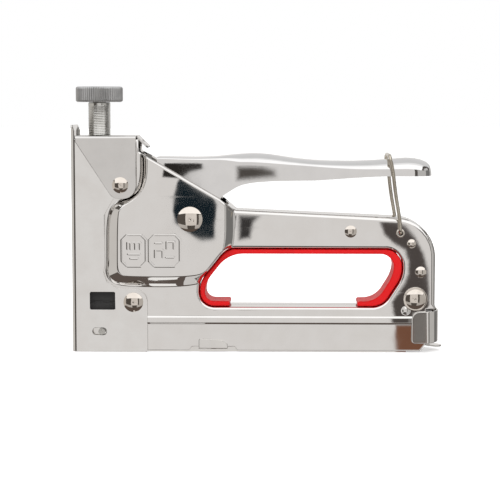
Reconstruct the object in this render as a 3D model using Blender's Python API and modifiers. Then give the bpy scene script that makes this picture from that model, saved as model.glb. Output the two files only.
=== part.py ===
"""Staple gun (hand tacker) as an assembly of separate pieces.

The frame is +Z up with the nose at -X, the origin at the bottom centre, and the left side of the
tool at -Y. Every size below is in millimetres; the helpers turn them into metres.
Outlines are lists of corners (x, z, radius), drawn in the XZ plane unless a helper says otherwise.
"""

import math

import bmesh
import bpy
from mathutils import Matrix, Vector

MM = 0.001
GAP = 0.3
SIDES = (("left", -1.0), ("right", 1.0))

# Shells: half widths of the flat grip level and of the raised bulge, sheet and rim rounding.
GRIP_HALF = 9.0
BULGE_HALF = 12.8
SHEET = 1.0
RIM = 1.2
SEAM = 0.15
RING_WALL = 1.0

# Nose plate and head cap.
NOSE_FRONT = -83.5
NOSE_SHEET = 0.9
NOSE_INNER = GRIP_HALF + GAP
NOSE_OUTER = NOSE_INNER + NOSE_SHEET
NOSE_TOP = 95.6
TAB_TOP = 101.9
CAP_INNER = NOSE_OUTER + GAP
CAP_OUTER = CAP_INNER + 0.9
CAP_TOP = 97.2

# Adjusting screw, knob and spring line.
SCREW_X = -71.55
SCREW_R = 5.0
SCREW_BOTTOM = 79.5
KNOB_R = 10.55
KNOB_BOTTOM = 112.1
KNOB_TOP = 119.0
SPIGOT_R = 3.0

# Lever pivot, bail hinge and rivets: (x, z).
PIVOT = (-30.1, 60.1)
PIVOT_R = 3.0
BAIL_HINGE = (63.8, 53.8)
BAIL_RADIUS = 35.0
BAIL_TOP_X = 58.6
BAIL_HALF = 11.4
BAIL_WIRE_R = 0.8
CAP_RIVET = (-61.2, 75.2)
NOSE_RIVET = (-55.8, 22.5)
NOSE_PIN = (-70.2, 9.2)
GRIP_RIVET = (41.6, 54.5)
SHOULDER_RIVET = (68.8, 49.1)
REAR_RIVET = (73.0, 36.3)
MAGAZINE_RIVET = (70.7, 24.2)
WASHER_R = 5.4
WASHER_BORE = 2.7
WASHER_SHEET = 0.6

# Lever channel.
LEVER_HALF = 9.5
LEVER_SHEET = 1.2

# Hammer, spring and bumper.
HAMMER_BOTTOM = 28.0
HAMMER_TOP = 52.0
HAMMER_HALF = 6.5
SPRING_SEAT_BOTTOM = 77.0

# Magazine.
CHANNEL_HALF = 7.7
CHANNEL_TOP = 16.0
CHANNEL_SHEET = 0.8
CHANNEL_FRONT = -80.2
RAIL_HALF = 4.6
RAIL_TOP = 11.5
RAIL_REAR = 66.0
ROD_Z = 14.6
ROD_R = 1.5

SHELL_OUTLINE = [
    (-81.9, 0.6, 0.0), (-81.9, 95.6, 0.0), (-53.0, 95.6, 0.0), (-53.0, 90.2, 0.0),
    (-16.5, 68.9, 2.0), (-9.8, 64.0, 2.0), (79.6, 60.0, 18.0),
    (79.6, 19.6, 0.0), (75.6, 19.6, 0.0), (75.6, 3.9, 0.0), (73.0, 0.6, 0.0),
    (-9.2, 0.6, 0.0), (-10.4, 2.3, 0.0), (-29.6, 2.3, 0.0), (-30.8, 0.6, 0.0),
]
# The cavity runs out past the open front, top and bottom of the shells.
CAVITY_OUTLINE = [
    (-86.0, -3.0, 0.0), (-86.0, 105.0, 0.0), (-40.0, 105.0, 0.0), (-13.6, 75.0, 0.0),
    (-13.6, 65.4, 0.0), (-9.5, 63.0, 2.0), (78.6, 59.0, 17.0), (78.6, 20.6, 0.0),
    (74.4, 20.6, 0.0), (74.4, 17.9, 0.0), (84.0, 17.9, 0.0), (84.0, -3.0, 0.0),
]
FINGER_OPENING = [
    (-14.3, 46.7, 8.5), (64.95, 46.7, 7.7), (64.95, 34.4, 12.0), (56.2, 20.4, 9.0),
    (-26.1, 20.4, 6.5), (-26.1, 31.7, 8.7),
]
# The bulge's slope runs from its foot at the grip level to the edge of its plateau.
BULGE_FOOT = [
    (-52.6, 90.1), (-52.6, 77.0), (-55.6, 70.7), (-64.1, 68.0), (-68.0, 61.7), (-68.2, 39.2),
    (-68.8, 36.0), (-67.3, 32.0), (-62.3, 29.0), (-27.0, 29.0), (-20.0, 35.0), (-10.1, 44.0),
    (-10.1, 64.4), (-16.5, 69.05),
]
BULGE_EDGE = [
    (-48.7, 87.85), (-48.9, 77.0), (-52.9, 69.8), (-61.0, 65.0), (-62.0, 61.7), (-62.3, 40.5),
    (-62.0, 37.4), (-60.9, 35.6), (-58.5, 34.7), (-27.2, 34.7), (-22.0, 38.0), (-14.8, 44.0),
    (-14.8, 67.8), (-16.6, 69.1),
]

NOSE_SIDE = [
    (-84.0, -1.0, 0.0), (-84.0, 105.0, 0.0), (-82.2, 105.0, 0.0), (-82.2, NOSE_TOP, 0.0),
    (-56.2, NOSE_TOP, 0.0), (-56.2, 72.4, 3.0), (-64.7, 68.9, 2.5), (-68.5, 62.0, 2.0),
    (-68.6, 39.0, 0.0), (-69.2, 36.0, 1.0), (-67.7, 31.7, 3.0), (-62.4, 28.6, 2.0),
    (-49.5, 28.6, 6.1), (-49.5, 0.0, 0.8), (-60.0, 0.0, 0.0), (-60.0, -1.0, 0.0),
]
NOSE_FACE = [
    (-11.0, 0.0, 0.0), (11.0, 0.0, 0.0), (11.0, 96.0, 0.0), (9.4, 96.0, 0.0), (9.4, 98.6, 0.5),
    (6.6, TAB_TOP, 1.0), (-6.6, TAB_TOP, 1.0), (-9.4, 98.6, 0.5), (-9.4, 96.0, 0.0),
    (-11.0, 96.0, 0.0),
]
NOSE_WINDOW = [(-75.4, 19.1, 0.7), (-64.1, 19.1, 0.7), (-64.1, 27.1, 0.7), (-75.4, 27.1, 0.7)]
NOSE_SLOT = [(-74.4, 7.5, 1.6), (-68.1, 7.5, 1.6), (-68.1, 10.9, 1.6), (-74.4, 10.9, 1.6)]
CAP_EAR = [
    (-81.3, CAP_TOP, 0.0), (-54.2, CAP_TOP, 0.0), (-55.0, 69.0, 6.1), (-64.6, 69.0, 5.0),
    (-81.3, 94.6, 0.0),
]
CAP_TONGUE = [
    (-56.0, 97.1, 0.0), (-53.9, 97.1, 0.8), (-48.8, 92.2, 0.0), (-49.5, 91.5, 0.0),
    (-54.3, 96.4, 0.0), (-56.0, 96.4, 0.0),
]
LINER = [
    (-12.4, 20.7, 1.0), (-12.4, 22.9, 1.0), (-23.7, 22.9, 4.2), (-23.7, 30.9, 6.3),
    (-13.2, 44.3, 6.3), (61.0, 44.3, 5.5), (61.0, 35.3, 9.0), (53.4, 23.0, 7.0),
    (44.8, 22.9, 1.0), (44.8, 20.7, 1.0), (56.0, 20.7, 8.8), (64.65, 34.4, 11.8),
    (64.65, 46.4, 7.4), (-14.2, 46.4, 8.3), (-25.8, 31.7, 8.5), (-25.8, 20.7, 6.2),
]
LINER_HALF = 8.8
SOFT_EDGE = 0.7
LIFTING_ARM = [
    (-23.6, 66.5, 5.0), (-23.6, 53.8, 5.0), (-34.0, 51.0, 4.0), (-58.0, 41.6, 2.0),
    (-72.5, 41.6, 1.8), (-72.5, 46.2, 1.8), (-60.0, 46.4, 2.0), (-38.0, 66.5, 5.0),
]
HAMMER_SLOT = [
    (-76.2, 41.0, 0.0), (-69.5, 41.0, 0.0), (-60.0, 37.8, 0.0), (-60.0, 47.5, 0.0),
    (-76.2, 47.5, 0.0),
]
CLIP_SIDE = [
    (69.1, 18.4, 3.0), (76.0, 18.6, 0.0), (82.0, 19.3, 0.0), (82.0, 5.0, 0.0), (76.0, 4.1, 0.0),
    (69.1, 4.1, 1.5),
]
TONGUE_SIDE = [
    (67.5, 1.3, 0.0), (67.5, 3.5, 0.0), (76.0, 3.5, 1.0), (83.5, 2.3, 0.0), (83.5, 1.8, 0.0),
    (75.0, 1.3, 1.0),
]
SADDLE_EAR = [(-26.5, 1.1, 0.0), (-13.5, 1.1, 0.0), (-13.5, 3.8, 0.5), (-26.5, 6.2, 0.8)]

# Lever: (x, crown height, height of the side's top edge, height of the lower edge).
LEVER_STATIONS = [
    (-45.0, 88.0, 87.4, 79.0), (-41.5, 88.0, 87.3, 67.0), (-38.0, 87.8, 87.1, 57.0),
    (-34.5, 87.6, 86.9, 53.4), (-30.1, 87.4, 86.7, 52.3), (-25.6, 87.0, 86.5, 53.9),
    (-22.5, 87.0, 86.3, 57.4), (-19.6, 88.1, 86.1, 64.0), (-16.7, 88.4, 85.8, 69.0),
    (-12.4, 88.8, 85.4, 72.4), (-8.2, 89.1, 85.1, 74.8), (-2.2, 89.4, 84.9, 76.2),
    (2.9, 89.2, 84.6, 76.7), (7.9, 88.6, 84.3, 77.0), (13.0, 87.7, 84.0, 77.1),
    (19.1, 86.8, 83.7, 77.2), (26.0, 86.2, 83.2, 77.3), (33.5, 85.9, 82.6, 77.8),
    (45.2, 85.9, 81.9, 78.6), (55.1, 86.4, 81.7, 79.1), (61.9, 86.9, 81.6, 79.2),
    (67.5, 87.2, 81.5, 79.2), (71.3, 86.8, 81.2, 79.2), (74.2, 86.0, 80.8, 79.2),
    (76.2, 84.8, 80.4, 79.2), (77.5, 82.8, 80.0, 79.2), (78.1, 80.6, 79.6, 79.2),
]
CROWN_STEPS = 4
CORNER_SHARE = 0.65
WELD = 0.01
BIG = 20.0

# Rivets and pins that cross the body: place, head radius and height, shaft radius, and the half
# width of what the heads clamp.
RIVETS = {
    "cap_rivet": (CAP_RIVET, 3.6, 1.3, 2.1, CAP_OUTER),
    "nose_rivet": (NOSE_RIVET, 4.4, 1.4, 2.5, NOSE_OUTER),
    "lever_pivot_pin": (PIVOT, 5.6, 1.3, PIVOT_R, BULGE_HALF),
    "grip_rivet": (GRIP_RIVET, 2.7, 0.8, 1.5, GRIP_HALF),
    "shoulder_rivet": (SHOULDER_RIVET, 2.0, 0.8, 1.2, GRIP_HALF),
    "rear_rivet": (REAR_RIVET, 2.5, 0.8, 1.4, GRIP_HALF),
    "magazine_rivet": (MAGAZINE_RIVET, 4.5, 1.2, 2.4, GRIP_HALF + WASHER_SHEET + GAP),
}
EYELET_TUBE = 1.5
NOSE_PIN_R = 1.5


def collection(name):
    made = bpy.data.collections.new(name)
    bpy.context.scene.collection.children.link(made)
    return made


def material(name, colour, roughness, metallic):
    made = bpy.data.materials.new(name)
    made.use_nodes = True
    shader = made.node_tree.nodes["Principled BSDF"]
    shader.inputs["Base Color"].default_value = (*colour, 1.0)
    shader.inputs["Roughness"].default_value = roughness
    shader.inputs["Metallic"].default_value = metallic
    made.diffuse_color = (*colour, 1.0)
    return made


def link(obj, group):
    group.objects.link(obj)
    return obj


def finish(obj, colour, roughness=0.15, metallic=1.0, parent=None):
    """Put a piece in the object's collection with its own material, under its joint's empty."""
    if obj.name not in PARTS.objects:
        for group in list(obj.users_collection):
            group.objects.unlink(obj)
        PARTS.objects.link(obj)
    obj.data.materials.clear()
    obj.data.materials.append(material(obj.name, colour, roughness, metallic))
    if parent:
        bpy.context.view_layer.update()
        world = obj.matrix_world.copy()
        obj.parent = parent
        obj.matrix_parent_inverse = parent.matrix_world.inverted()
        obj.matrix_world = world
    return obj


def soften(obj):
    """Rounded rims on a moulded piece."""
    bevel = obj.modifiers.new("soft_edges", "BEVEL")
    bevel.width = SOFT_EDGE * MM
    bevel.segments = 2
    bevel.limit_method = "ANGLE"
    bevel.angle_limit = math.radians(50.0)


def as_cutter(obj):
    for group in list(obj.users_collection):
        group.objects.unlink(obj)
    CUTTERS.objects.link(obj)
    obj.hide_render = True
    obj.display_type = "WIRE"
    return obj


def boolean(obj, other, operation="DIFFERENCE", solver="EXACT"):
    as_cutter(other)
    made = obj.modifiers.new(operation.lower(), "BOOLEAN")
    made.operation = operation
    made.object = other
    made.solver = solver
    return obj


def carve(obj, other, operation="DIFFERENCE"):
    """Boolean between closed lofts, whose nearly parallel faces the exact solver can't resolve."""
    return boolean(obj, other, operation, "MANIFOLD")


def rounded(corners, step=20.0):
    """Closed outline through corners (x, z, radius), with an arc where the radius isn't zero.

    An arc takes up at most CORNER_SHARE of the straight run on either side of it.
    """
    points = []
    count = len(corners)
    for index, (x, z, radius) in enumerate(corners):
        here = Vector((x, z))
        back = Vector(corners[index - 1][:2]) - here
        ahead = Vector(corners[(index + 1) % count][:2]) - here
        if radius == 0.0:
            points.append(here)
            continue
        half = back.angle(ahead) / 2.0
        reach = min(radius / math.tan(half), CORNER_SHARE * min(back.length, ahead.length))
        radius = reach * math.tan(half)
        middle = here + (back.normalized() + ahead.normalized()).normalized() * radius / math.sin(half)
        start = here + back.normalized() * reach - middle
        turn = start.angle_signed(here + ahead.normalized() * reach - middle)
        steps = max(2, math.ceil(abs(math.degrees(turn)) / step))
        for stage in range(steps + 1):
            points.append(middle + Matrix.Rotation(-turn * stage / steps, 2) @ start)
    return points


def offset(points, distance):
    """Outline moved outwards by distance, or inwards where it is negative."""
    count = len(points)
    area = sum(points[i - 1].x * points[i].y - points[i].x * points[i - 1].y for i in range(count))
    side = 1.0 if area > 0.0 else -1.0
    moved = []
    for index, here in enumerate(points):
        before = (here - points[index - 1]).normalized()
        after = (points[(index + 1) % count] - here).normalized()
        normals = [Vector((edge.y, -edge.x)) * side for edge in (before, after)]
        mean = (normals[0] + normals[1]).normalized()
        moved.append(here + mean * distance / max(0.4, mean.dot(normals[0])))
    return moved


PLANES = {
    "XZ": Matrix(((1, 0, 0), (0, 0, -1), (0, 1, 0))).to_4x4(),
    "XY": Matrix.Identity(4),
    "YZ": Matrix(((0, 0, 1), (1, 0, 0), (0, 1, 0))).to_4x4(),
}
NORMALS = {"XZ": Vector((0, 1, 0)), "XY": Vector((0, 0, 1)), "YZ": Vector((1, 0, 0))}


def to_mesh(curve_obj):
    """A curve object made into a closed mesh object of the same name and place."""
    bpy.context.view_layer.update()
    name = curve_obj.name
    world = curve_obj.matrix_world.copy()
    mesh = bpy.data.meshes.new_from_object(curve_obj.evaluated_get(bpy.context.evaluated_depsgraph_get()))
    edit = bmesh.new()
    edit.from_mesh(mesh)
    bmesh.ops.remove_doubles(edit, verts=edit.verts, dist=WELD * MM)
    bmesh.ops.recalc_face_normals(edit, faces=edit.faces)
    edit.to_mesh(mesh)
    edit.free()
    bpy.data.objects.remove(curve_obj)
    obj = link(bpy.data.objects.new(name, mesh), PARTS)
    obj.matrix_world = world
    return obj


def slab(name, loops, low, high, plane="XZ"):
    """Flat outlines, the first with the others as holes or islands, from low to high."""
    data = bpy.data.curves.new(name, "CURVE")
    data.dimensions = "2D"
    data.fill_mode = "BOTH"
    data.extrude = (high - low) / 2.0 * MM
    for loop in loops:
        spline = data.splines.new("POLY")
        spline.points.add(len(loop) - 1)
        spline.use_cyclic_u = True
        for point, (u, v) in zip(spline.points, loop):
            point.co = (u * MM, v * MM, 0.0, 1.0)
    obj = link(bpy.data.objects.new(name, data), PARTS)
    obj.matrix_world = Matrix.Translation(NORMALS[plane] * (low + high) / 2.0 * MM) @ PLANES[plane]
    return to_mesh(obj)


def box(name, low, high):
    """Box between two corners, from a unit cube."""
    bpy.ops.mesh.primitive_cube_add(size=1.0)
    obj = bpy.context.active_object
    obj.name = name
    low, high = Vector(low) * MM, Vector(high) * MM
    obj.data.transform(Matrix.Diagonal((*(high - low), 1.0)))
    obj.location = (low + high) / 2.0
    return obj


def rod(name, radius, start, end, steps=24):
    """Cylinder from start to end, from a primitive."""
    start, end = Vector(start) * MM, Vector(end) * MM
    length = (end - start).length
    bpy.ops.mesh.primitive_cylinder_add(vertices=steps, radius=radius * MM, depth=length)
    obj = bpy.context.active_object
    obj.name = name
    obj.matrix_world = Matrix.Translation((start + end) / 2.0) @ (
        (end - start).to_track_quat("Z", "Y").to_matrix().to_4x4())
    return obj


def turned(name, profile, at, along_y=False, steps=20, closed=False):
    """Turned solid from a profile (radius, height) that runs down its outer side."""
    mesh = bpy.data.meshes.new(name)
    edges = [(i, i + 1) for i in range(len(profile) - 1)]
    if closed:
        edges.append((len(profile) - 1, 0))
    mesh.from_pydata([(r * MM, 0.0, h * MM) for r, h in profile], edges, [])
    obj = link(bpy.data.objects.new(name, mesh), PARTS)
    screw = obj.modifiers.new("turn", "SCREW")
    screw.steps = screw.render_steps = steps
    screw.use_merge_vertices = True
    screw.merge_threshold = 0.1 * WELD * MM
    screw.use_smooth_shade = True
    obj.location = Vector(at) * MM
    if along_y:
        obj.rotation_euler = (-math.pi / 2.0, 0.0, 0.0)
    return obj


def wire(name, points, radius):
    """Round wire through points, with filled ends."""
    data = bpy.data.curves.new(name, "CURVE")
    data.dimensions = "3D"
    data.bevel_depth = radius * MM
    data.bevel_resolution = 2
    data.use_fill_caps = True
    spline = data.splines.new("POLY")
    spline.points.add(len(points) - 1)
    for point, place in zip(spline.points, points):
        point.co = (*(Vector(place) * MM), 1.0)
    return link(bpy.data.objects.new(name, data), PARTS)


def coil(centre, axis, radius, start, end, turns, per_turn=10):
    """Points along a helix about an axis (0 for X, 1 for Y, 2 for Z) through centre."""
    points = []
    total = int(turns * per_turn)
    others = [index for index in range(3) if index != axis]
    for stage in range(total + 1):
        angle = 2.0 * math.pi * stage / per_turn
        place = [0.0, 0.0, 0.0]
        place[axis] = start + (end - start) * stage / total
        place[others[0]] = centre[others[0]] + radius * math.cos(angle)
        place[others[1]] = centre[others[1]] + radius * math.sin(angle)
        points.append(tuple(place))
    return points


def loft(name, sections):
    """Closed solid through sections of equal point counts, capped at both ends."""
    edit = bmesh.new()
    rings = [[edit.verts.new(Vector(place) * MM) for place in section] for section in sections]
    count = len(rings[0])
    for low, high in zip(rings, rings[1:]):
        for index in range(count):
            after = (index + 1) % count
            edit.faces.new((low[index], low[after], high[after], high[index]))
    edit.faces.new(rings[0])
    edit.faces.new(rings[-1])
    bmesh.ops.triangulate(edit, faces=edit.faces)
    bmesh.ops.recalc_face_normals(edit, faces=edit.faces)
    mesh = bpy.data.meshes.new(name)
    edit.to_mesh(mesh)
    edit.free()
    return link(bpy.data.objects.new(name, mesh), PARTS)


def stack(name, layers, side):
    """Loft through flat outlines, each given as (outline, distance from the mid-plane)."""
    return loft(name, [[(x, side * depth, z) for x, z in outline] for outline, depth in layers])


def between(low, high, part):
    return [Vector(a).lerp(Vector(b), part) for a, b in zip(low, high)]


def empty(name, at):
    made = link(bpy.data.objects.new(name, None), PARTS)
    made.location = Vector(at) * MM
    made.empty_display_size = 0.01
    return made


def across(x, z, half):
    """Ends of a line through (x, z), from one side of the tool to the other."""
    return (x, -half, z), (x, half, z)


def open_top(points):
    """Hollow outline of the bulge with its two diagonal corners lifted clear of the shell."""
    lift = Vector((0.0, 7.0))
    return [points[0] + lift] + points[1:-1] + [points[-1] + lift]


SHELL_HOLES = [(place, shaft) for place, _, _, shaft, _ in RIVETS.values()]
SHELL_HOLES += [(BAIL_HINGE, EYELET_TUBE), (NOSE_PIN, NOSE_PIN_R)]


def make_shell(name, side):
    """Half shell: a rimmed body and a sloped bulge, hollowed, with a walled finger opening."""
    outline = rounded(SHELL_OUTLINE)
    shell = stack(name, [
        (outline, SEAM), (outline, GRIP_HALF - RIM), (offset(outline, -0.3 * RIM), GRIP_HALF - 0.3 * RIM),
        (offset(outline, -RIM), GRIP_HALF),
    ], side)
    foot = [Vector(point) for point in BULGE_FOOT]
    edge = [Vector(point) for point in BULGE_EDGE]
    rise = BULGE_HALF - GRIP_HALF
    bulge = stack(name + "_bulge", [
        (foot, GRIP_HALF - 2.0), (foot, GRIP_HALF - 0.1),
        (between(foot, edge, 0.3), GRIP_HALF + 0.2 * rise),
        (between(foot, edge, 0.7), GRIP_HALF + 0.8 * rise), (edge, BULGE_HALF),
    ], side)
    carve(shell, bulge, "UNION")

    opening = rounded(FINGER_OPENING)
    ring = slab(name + "_ring", [offset(opening, RING_WALL)], -BIG, BIG)
    cavity_line = rounded(CAVITY_OUTLINE)
    cavity = stack(name + "_cavity", [
        (cavity_line, -2.0), (cavity_line, GRIP_HALF - SHEET - RIM),
        (offset(cavity_line, -RIM), GRIP_HALF - SHEET),
    ], side)
    carve(cavity, ring)
    carve(shell, cavity)
    inner_foot, inner_edge = open_top(offset(foot, -SHEET)), open_top(offset(edge, -SHEET))
    hollow = stack(name + "_hollow", [
        (inner_foot, GRIP_HALF - SHEET - 1.5), (inner_foot, GRIP_HALF - SHEET - 0.1),
        (between(inner_foot, inner_edge, 0.3), GRIP_HALF - SHEET + 0.2 * rise),
        (between(inner_foot, inner_edge, 0.7), GRIP_HALF - SHEET + 0.8 * rise),
        (inner_edge, BULGE_HALF - SHEET),
    ], side)
    carve(hollow, ring)
    carve(shell, hollow)
    carve(shell, slab(name + "_opening", [opening], -BIG, BIG))
    window = offset(rounded(NOSE_WINDOW), 0.5)
    carve(shell, slab(name + "_window", [window], -BIG, BIG))
    for index, (place, radius) in enumerate(SHELL_HOLES):
        carve(shell, rod(f"{name}_hole_{index}", radius + GAP, *across(*place, BIG)))
    weld = shell.modifiers.new("weld", "WELD")
    weld.merge_threshold = WELD * MM
    return finish(shell, (0.79, 0.77, 0.75), 0.08)


def make_mirror_twin(obj, name, colour, roughness):
    """The same piece for the other side of the mid-plane."""
    bpy.context.view_layer.update()
    mesh = bpy.data.meshes.new_from_object(obj.evaluated_get(bpy.context.evaluated_depsgraph_get()))
    mesh.transform(Matrix.Diagonal((1.0, -1.0, 1.0, 1.0)) @ obj.matrix_world)
    mesh.flip_normals()
    return finish(link(bpy.data.objects.new(name, mesh), PARTS), colour, roughness)


def make_nose_plate():
    """Folded front plate: a U channel trimmed to its side, face and window outlines."""
    bend = 2.0
    face_back = NOSE_FRONT + 1.2
    channel_line = rounded([
        (-45.0, NOSE_OUTER, 0.0), (NOSE_FRONT, NOSE_OUTER, bend), (NOSE_FRONT, -NOSE_OUTER, bend),
        (-45.0, -NOSE_OUTER, 0.0), (-45.0, -NOSE_INNER, 0.0),
        (face_back, -NOSE_INNER, bend - NOSE_SHEET), (face_back, NOSE_INNER, bend - NOSE_SHEET),
        (-45.0, NOSE_INNER, 0.0),
    ])
    plate = slab("nose_plate", [channel_line], -2.0, 104.0, "XY")
    boolean(plate, slab("nose_side", [rounded(NOSE_SIDE)], -BIG, BIG), "INTERSECT")
    boolean(plate, slab("nose_face", [rounded(NOSE_FACE)], -90.0, -40.0, "YZ"), "INTERSECT")
    boolean(plate, slab("nose_window", [rounded(NOSE_WINDOW)], -BIG, BIG))
    boolean(plate, slab("nose_slot", [rounded(NOSE_SLOT)], -BIG, BIG))
    for node in ("nose_rivet", "cap_rivet"):
        place, _, _, shaft, _ = RIVETS[node]
        boolean(plate, rod("plate_hole_" + node, shaft + GAP, *across(*place, BIG)))
    return finish(plate, (0.81, 0.80, 0.78), 0.08)


def make_head_cap():
    """Folded bracket over the head: top plate, two ears and a bent rear tongue."""
    cap = slab("head_cap", [rounded(CAP_EAR)], -CAP_OUTER, CAP_OUTER)
    boolean(cap, box("cap_inside", (-90.0, -CAP_INNER, 60.0), (-45.0, CAP_INNER, CAP_TOP - 0.9)))
    boolean(cap, slab("cap_tongue", [rounded(CAP_TONGUE)], -6.5, 6.5), "UNION")
    boolean(cap, rod("cap_screw_hole", SCREW_R + 0.6, (SCREW_X, 0.0, 90.0), (SCREW_X, 0.0, 102.0)))
    place, _, _, shaft, _ = RIVETS["cap_rivet"]
    boolean(cap, rod("cap_rivet_hole", shaft + GAP, *across(*place, BIG)))
    boolean(cap, box("cap_tongue_slot", (-51.6, -3.0, 90.0), (-50.2, 3.0, 97.0)))
    return finish(cap, (0.73, 0.71, 0.70), 0.1)


def rivet_profile(head_r, head_h, shaft_r, head_base):
    """Shaft with a low dome on each end, symmetric about the mid-plane."""
    dome = [
        (head_r * math.sin(math.radians(angle)), head_base + head_h * math.cos(math.radians(angle)))
        for angle in (0, 35, 65, 90)
    ]
    upper = dome + [(shaft_r, head_base)]
    return upper + [(r, -h) for r, h in reversed(upper)]


def make_rivet(name, place, head_r, head_h, shaft_r, seat):
    """Rivet across both sides; seat is the half width of what it clamps."""
    x, z = place
    rivet = turned(name, rivet_profile(head_r, head_h, shaft_r, seat + GAP), (x, 0.0, z), along_y=True)
    return finish(rivet, (0.80, 0.78, 0.75), 0.12)


def ring(place, radius, count=24):
    x, z = place
    return [(x + radius * math.cos(a), z + radius * math.sin(a)) for a in circle(count)]


def make_fasteners():
    for name, (place, head_r, head_h, shaft_r, seat) in RIVETS.items():
        make_rivet(name, place, head_r, head_h, shaft_r, seat)
    for name, side in SIDES:
        low, high = sorted((side * (GRIP_HALF + GAP), side * (GRIP_HALF + GAP + WASHER_SHEET)))
        rims = [ring(MAGAZINE_RIVET, WASHER_R), ring(MAGAZINE_RIVET, WASHER_BORE)]
        finish(slab("rivet_washer_" + name, rims, low, high), (0.78, 0.76, 0.74), 0.15)
        x, z = NOSE_PIN
        pin = rod("nose_pin_" + name, NOSE_PIN_R, (x, side * 8.1, z), (x, side * NOSE_OUTER, z))
        finish(pin, (0.60, 0.59, 0.56), 0.2)


def circle(count):
    return [2.0 * math.pi * index / count for index in range(count)]


def make_bail(parent):
    """Wire bail: two hooked legs in the eyelet and a bar over the lever."""
    hinge_x, hinge_z = BAIL_HINGE
    top_z = hinge_z + math.sqrt(BAIL_RADIUS ** 2 - (hinge_x - BAIL_TOP_X) ** 2)
    bend = 1.8
    leg = Vector((BAIL_TOP_X - hinge_x, 0.0, top_z - hinge_z)).normalized()
    hinge = Vector((hinge_x, 0.0, hinge_z))
    top = Vector((BAIL_TOP_X, 0.0, top_z))
    out = Vector((0.0, 1.0, 0.0))
    half = [hinge + out * 5.5]
    for ends, along in ((hinge, leg), (top, -leg)):
        for angle in (0, 30, 60, 90):
            sine, cosine = math.sin(math.radians(angle)), math.cos(math.radians(angle))
            if ends is top:
                sine, cosine = cosine, sine
            half.append(ends + out * (BAIL_HALF - bend + bend * sine) + along * bend * (1.0 - cosine))
    near = [Vector((p.x, -p.y, p.z)) for p in reversed(half)]
    finish(wire("wire_bail", half + near, BAIL_WIRE_R), (0.67, 0.66, 0.61), 0.2, parent=parent)


def make_eyelet():
    flange, tube, bore = 1.95, EYELET_TUBE, 1.12
    end = GRIP_HALF + GAP + 0.5
    seat = GRIP_HALF + GAP
    profile = [
        (bore, end), (flange, end), (flange, seat), (tube, seat), (tube, -seat), (flange, -seat),
        (flange, -end), (bore, -end),
    ]
    eyelet = turned("bail_eyelet", profile, (BAIL_HINGE[0], 0.0, BAIL_HINGE[1]), True, closed=True)
    finish(eyelet, (0.75, 0.74, 0.72), 0.15)


def make_screw_and_knob(parent):
    screw = turned("adjusting_screw", [
        (0.0, 117.0), (SPIGOT_R, 117.0), (SPIGOT_R, 111.6), (SCREW_R, 111.6),
        (SCREW_R, SCREW_BOTTOM + 1.0), (SCREW_R - 1.0, SCREW_BOTTOM), (0.0, SCREW_BOTTOM),
    ], (SCREW_X, 0.0, 0.0))
    finish(screw, (0.65, 0.65, 0.61), 0.25, parent=parent)
    bore = SPIGOT_R + GAP
    knob = turned("knob", [
        (bore, KNOB_TOP - 1.2), (KNOB_R - 3.0, KNOB_TOP - 1.2), (KNOB_R - 2.0, KNOB_TOP),
        (KNOB_R - 1.0, KNOB_TOP), (KNOB_R, KNOB_TOP - 1.0), (KNOB_R, KNOB_BOTTOM + 1.0),
        (KNOB_R - 1.0, KNOB_BOTTOM), (bore, KNOB_BOTTOM),
    ], (SCREW_X, 0.0, 0.0), steps=36, closed=True)
    finish(knob, (0.53, 0.53, 0.53), 0.3, parent=parent)


def make_nut():
    across_flats = 14.4
    corner = across_flats / math.sqrt(3.0)
    hexagon = [(SCREW_X + corner * math.cos(a), corner * math.sin(a)) for a in circle(6)]
    hole = [(SCREW_X + 5.4 * math.cos(a), 5.4 * math.sin(a)) for a in circle(24)]
    nut = slab("screw_nut", [hexagon, hole], 89.6, CAP_TOP - 0.9 - GAP, "XY")
    finish(nut, (0.55, 0.54, 0.50), 0.3)


def make_spring_parts(seat_parent, hammer_parent):
    seat = turned("spring_seat", [
        (0.0, 79.2), (7.0, 79.2), (7.0, SPRING_SEAT_BOTTOM), (4.2, SPRING_SEAT_BOTTOM),
        (3.8, SPRING_SEAT_BOTTOM - 3.0), (0.0, SPRING_SEAT_BOTTOM - 3.0),
    ], (SCREW_X, 0.0, 0.0))
    finish(seat, (0.45, 0.45, 0.45), 0.35, parent=seat_parent)
    wire_r = 0.8
    low, high = HAMMER_TOP + wire_r + GAP, SPRING_SEAT_BOTTOM - wire_r - GAP
    points = coil((SCREW_X, 0.0, 0.0), 2, 5.6, low, high, 5.5, 11)
    spring = wire("main_spring", points, wire_r)
    finish(spring, (0.30, 0.30, 0.31), 0.35, parent=hammer_parent)


def make_hammer(parent):
    block = box("hammer_block", (-80.6, -HAMMER_HALF, HAMMER_BOTTOM), (-60.6, HAMMER_HALF, HAMMER_TOP))
    boolean(block, slab("hammer_slot", [rounded(HAMMER_SLOT)], -3.1, 3.1))
    finish(block, (0.42, 0.41, 0.40), 0.35, parent=parent)
    blade = box("driver_blade", (-82.0, -5.6, 0.6), (-80.9, 5.6, 48.0))
    finish(blade, (0.50, 0.50, 0.50), 0.25, parent=parent)


def make_bumper():
    bumper = box("rubber_bumper", (-80.5, -7.5, 18.2), (-62.4, 7.5, HAMMER_BOTTOM - GAP))
    soften(bumper)
    finish(bumper, (0.02, 0.02, 0.02), 0.6, 0.0)


def lever_section(x, crown, edge, low, half, inset):
    """Section across the lever at x: straight sides under a half-elliptical crown."""
    top = crown - inset
    side = min(edge, top)
    points = [(x, -half, low), (x, -half, side)]
    for step in range(1, 2 * CROWN_STEPS):
        angle = math.pi * step / (2 * CROWN_STEPS)
        points.append((x, -half * math.cos(angle), side + (top - side) * math.sin(angle)))
    points += [(x, half, side), (x, half, low)]
    return points


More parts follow.
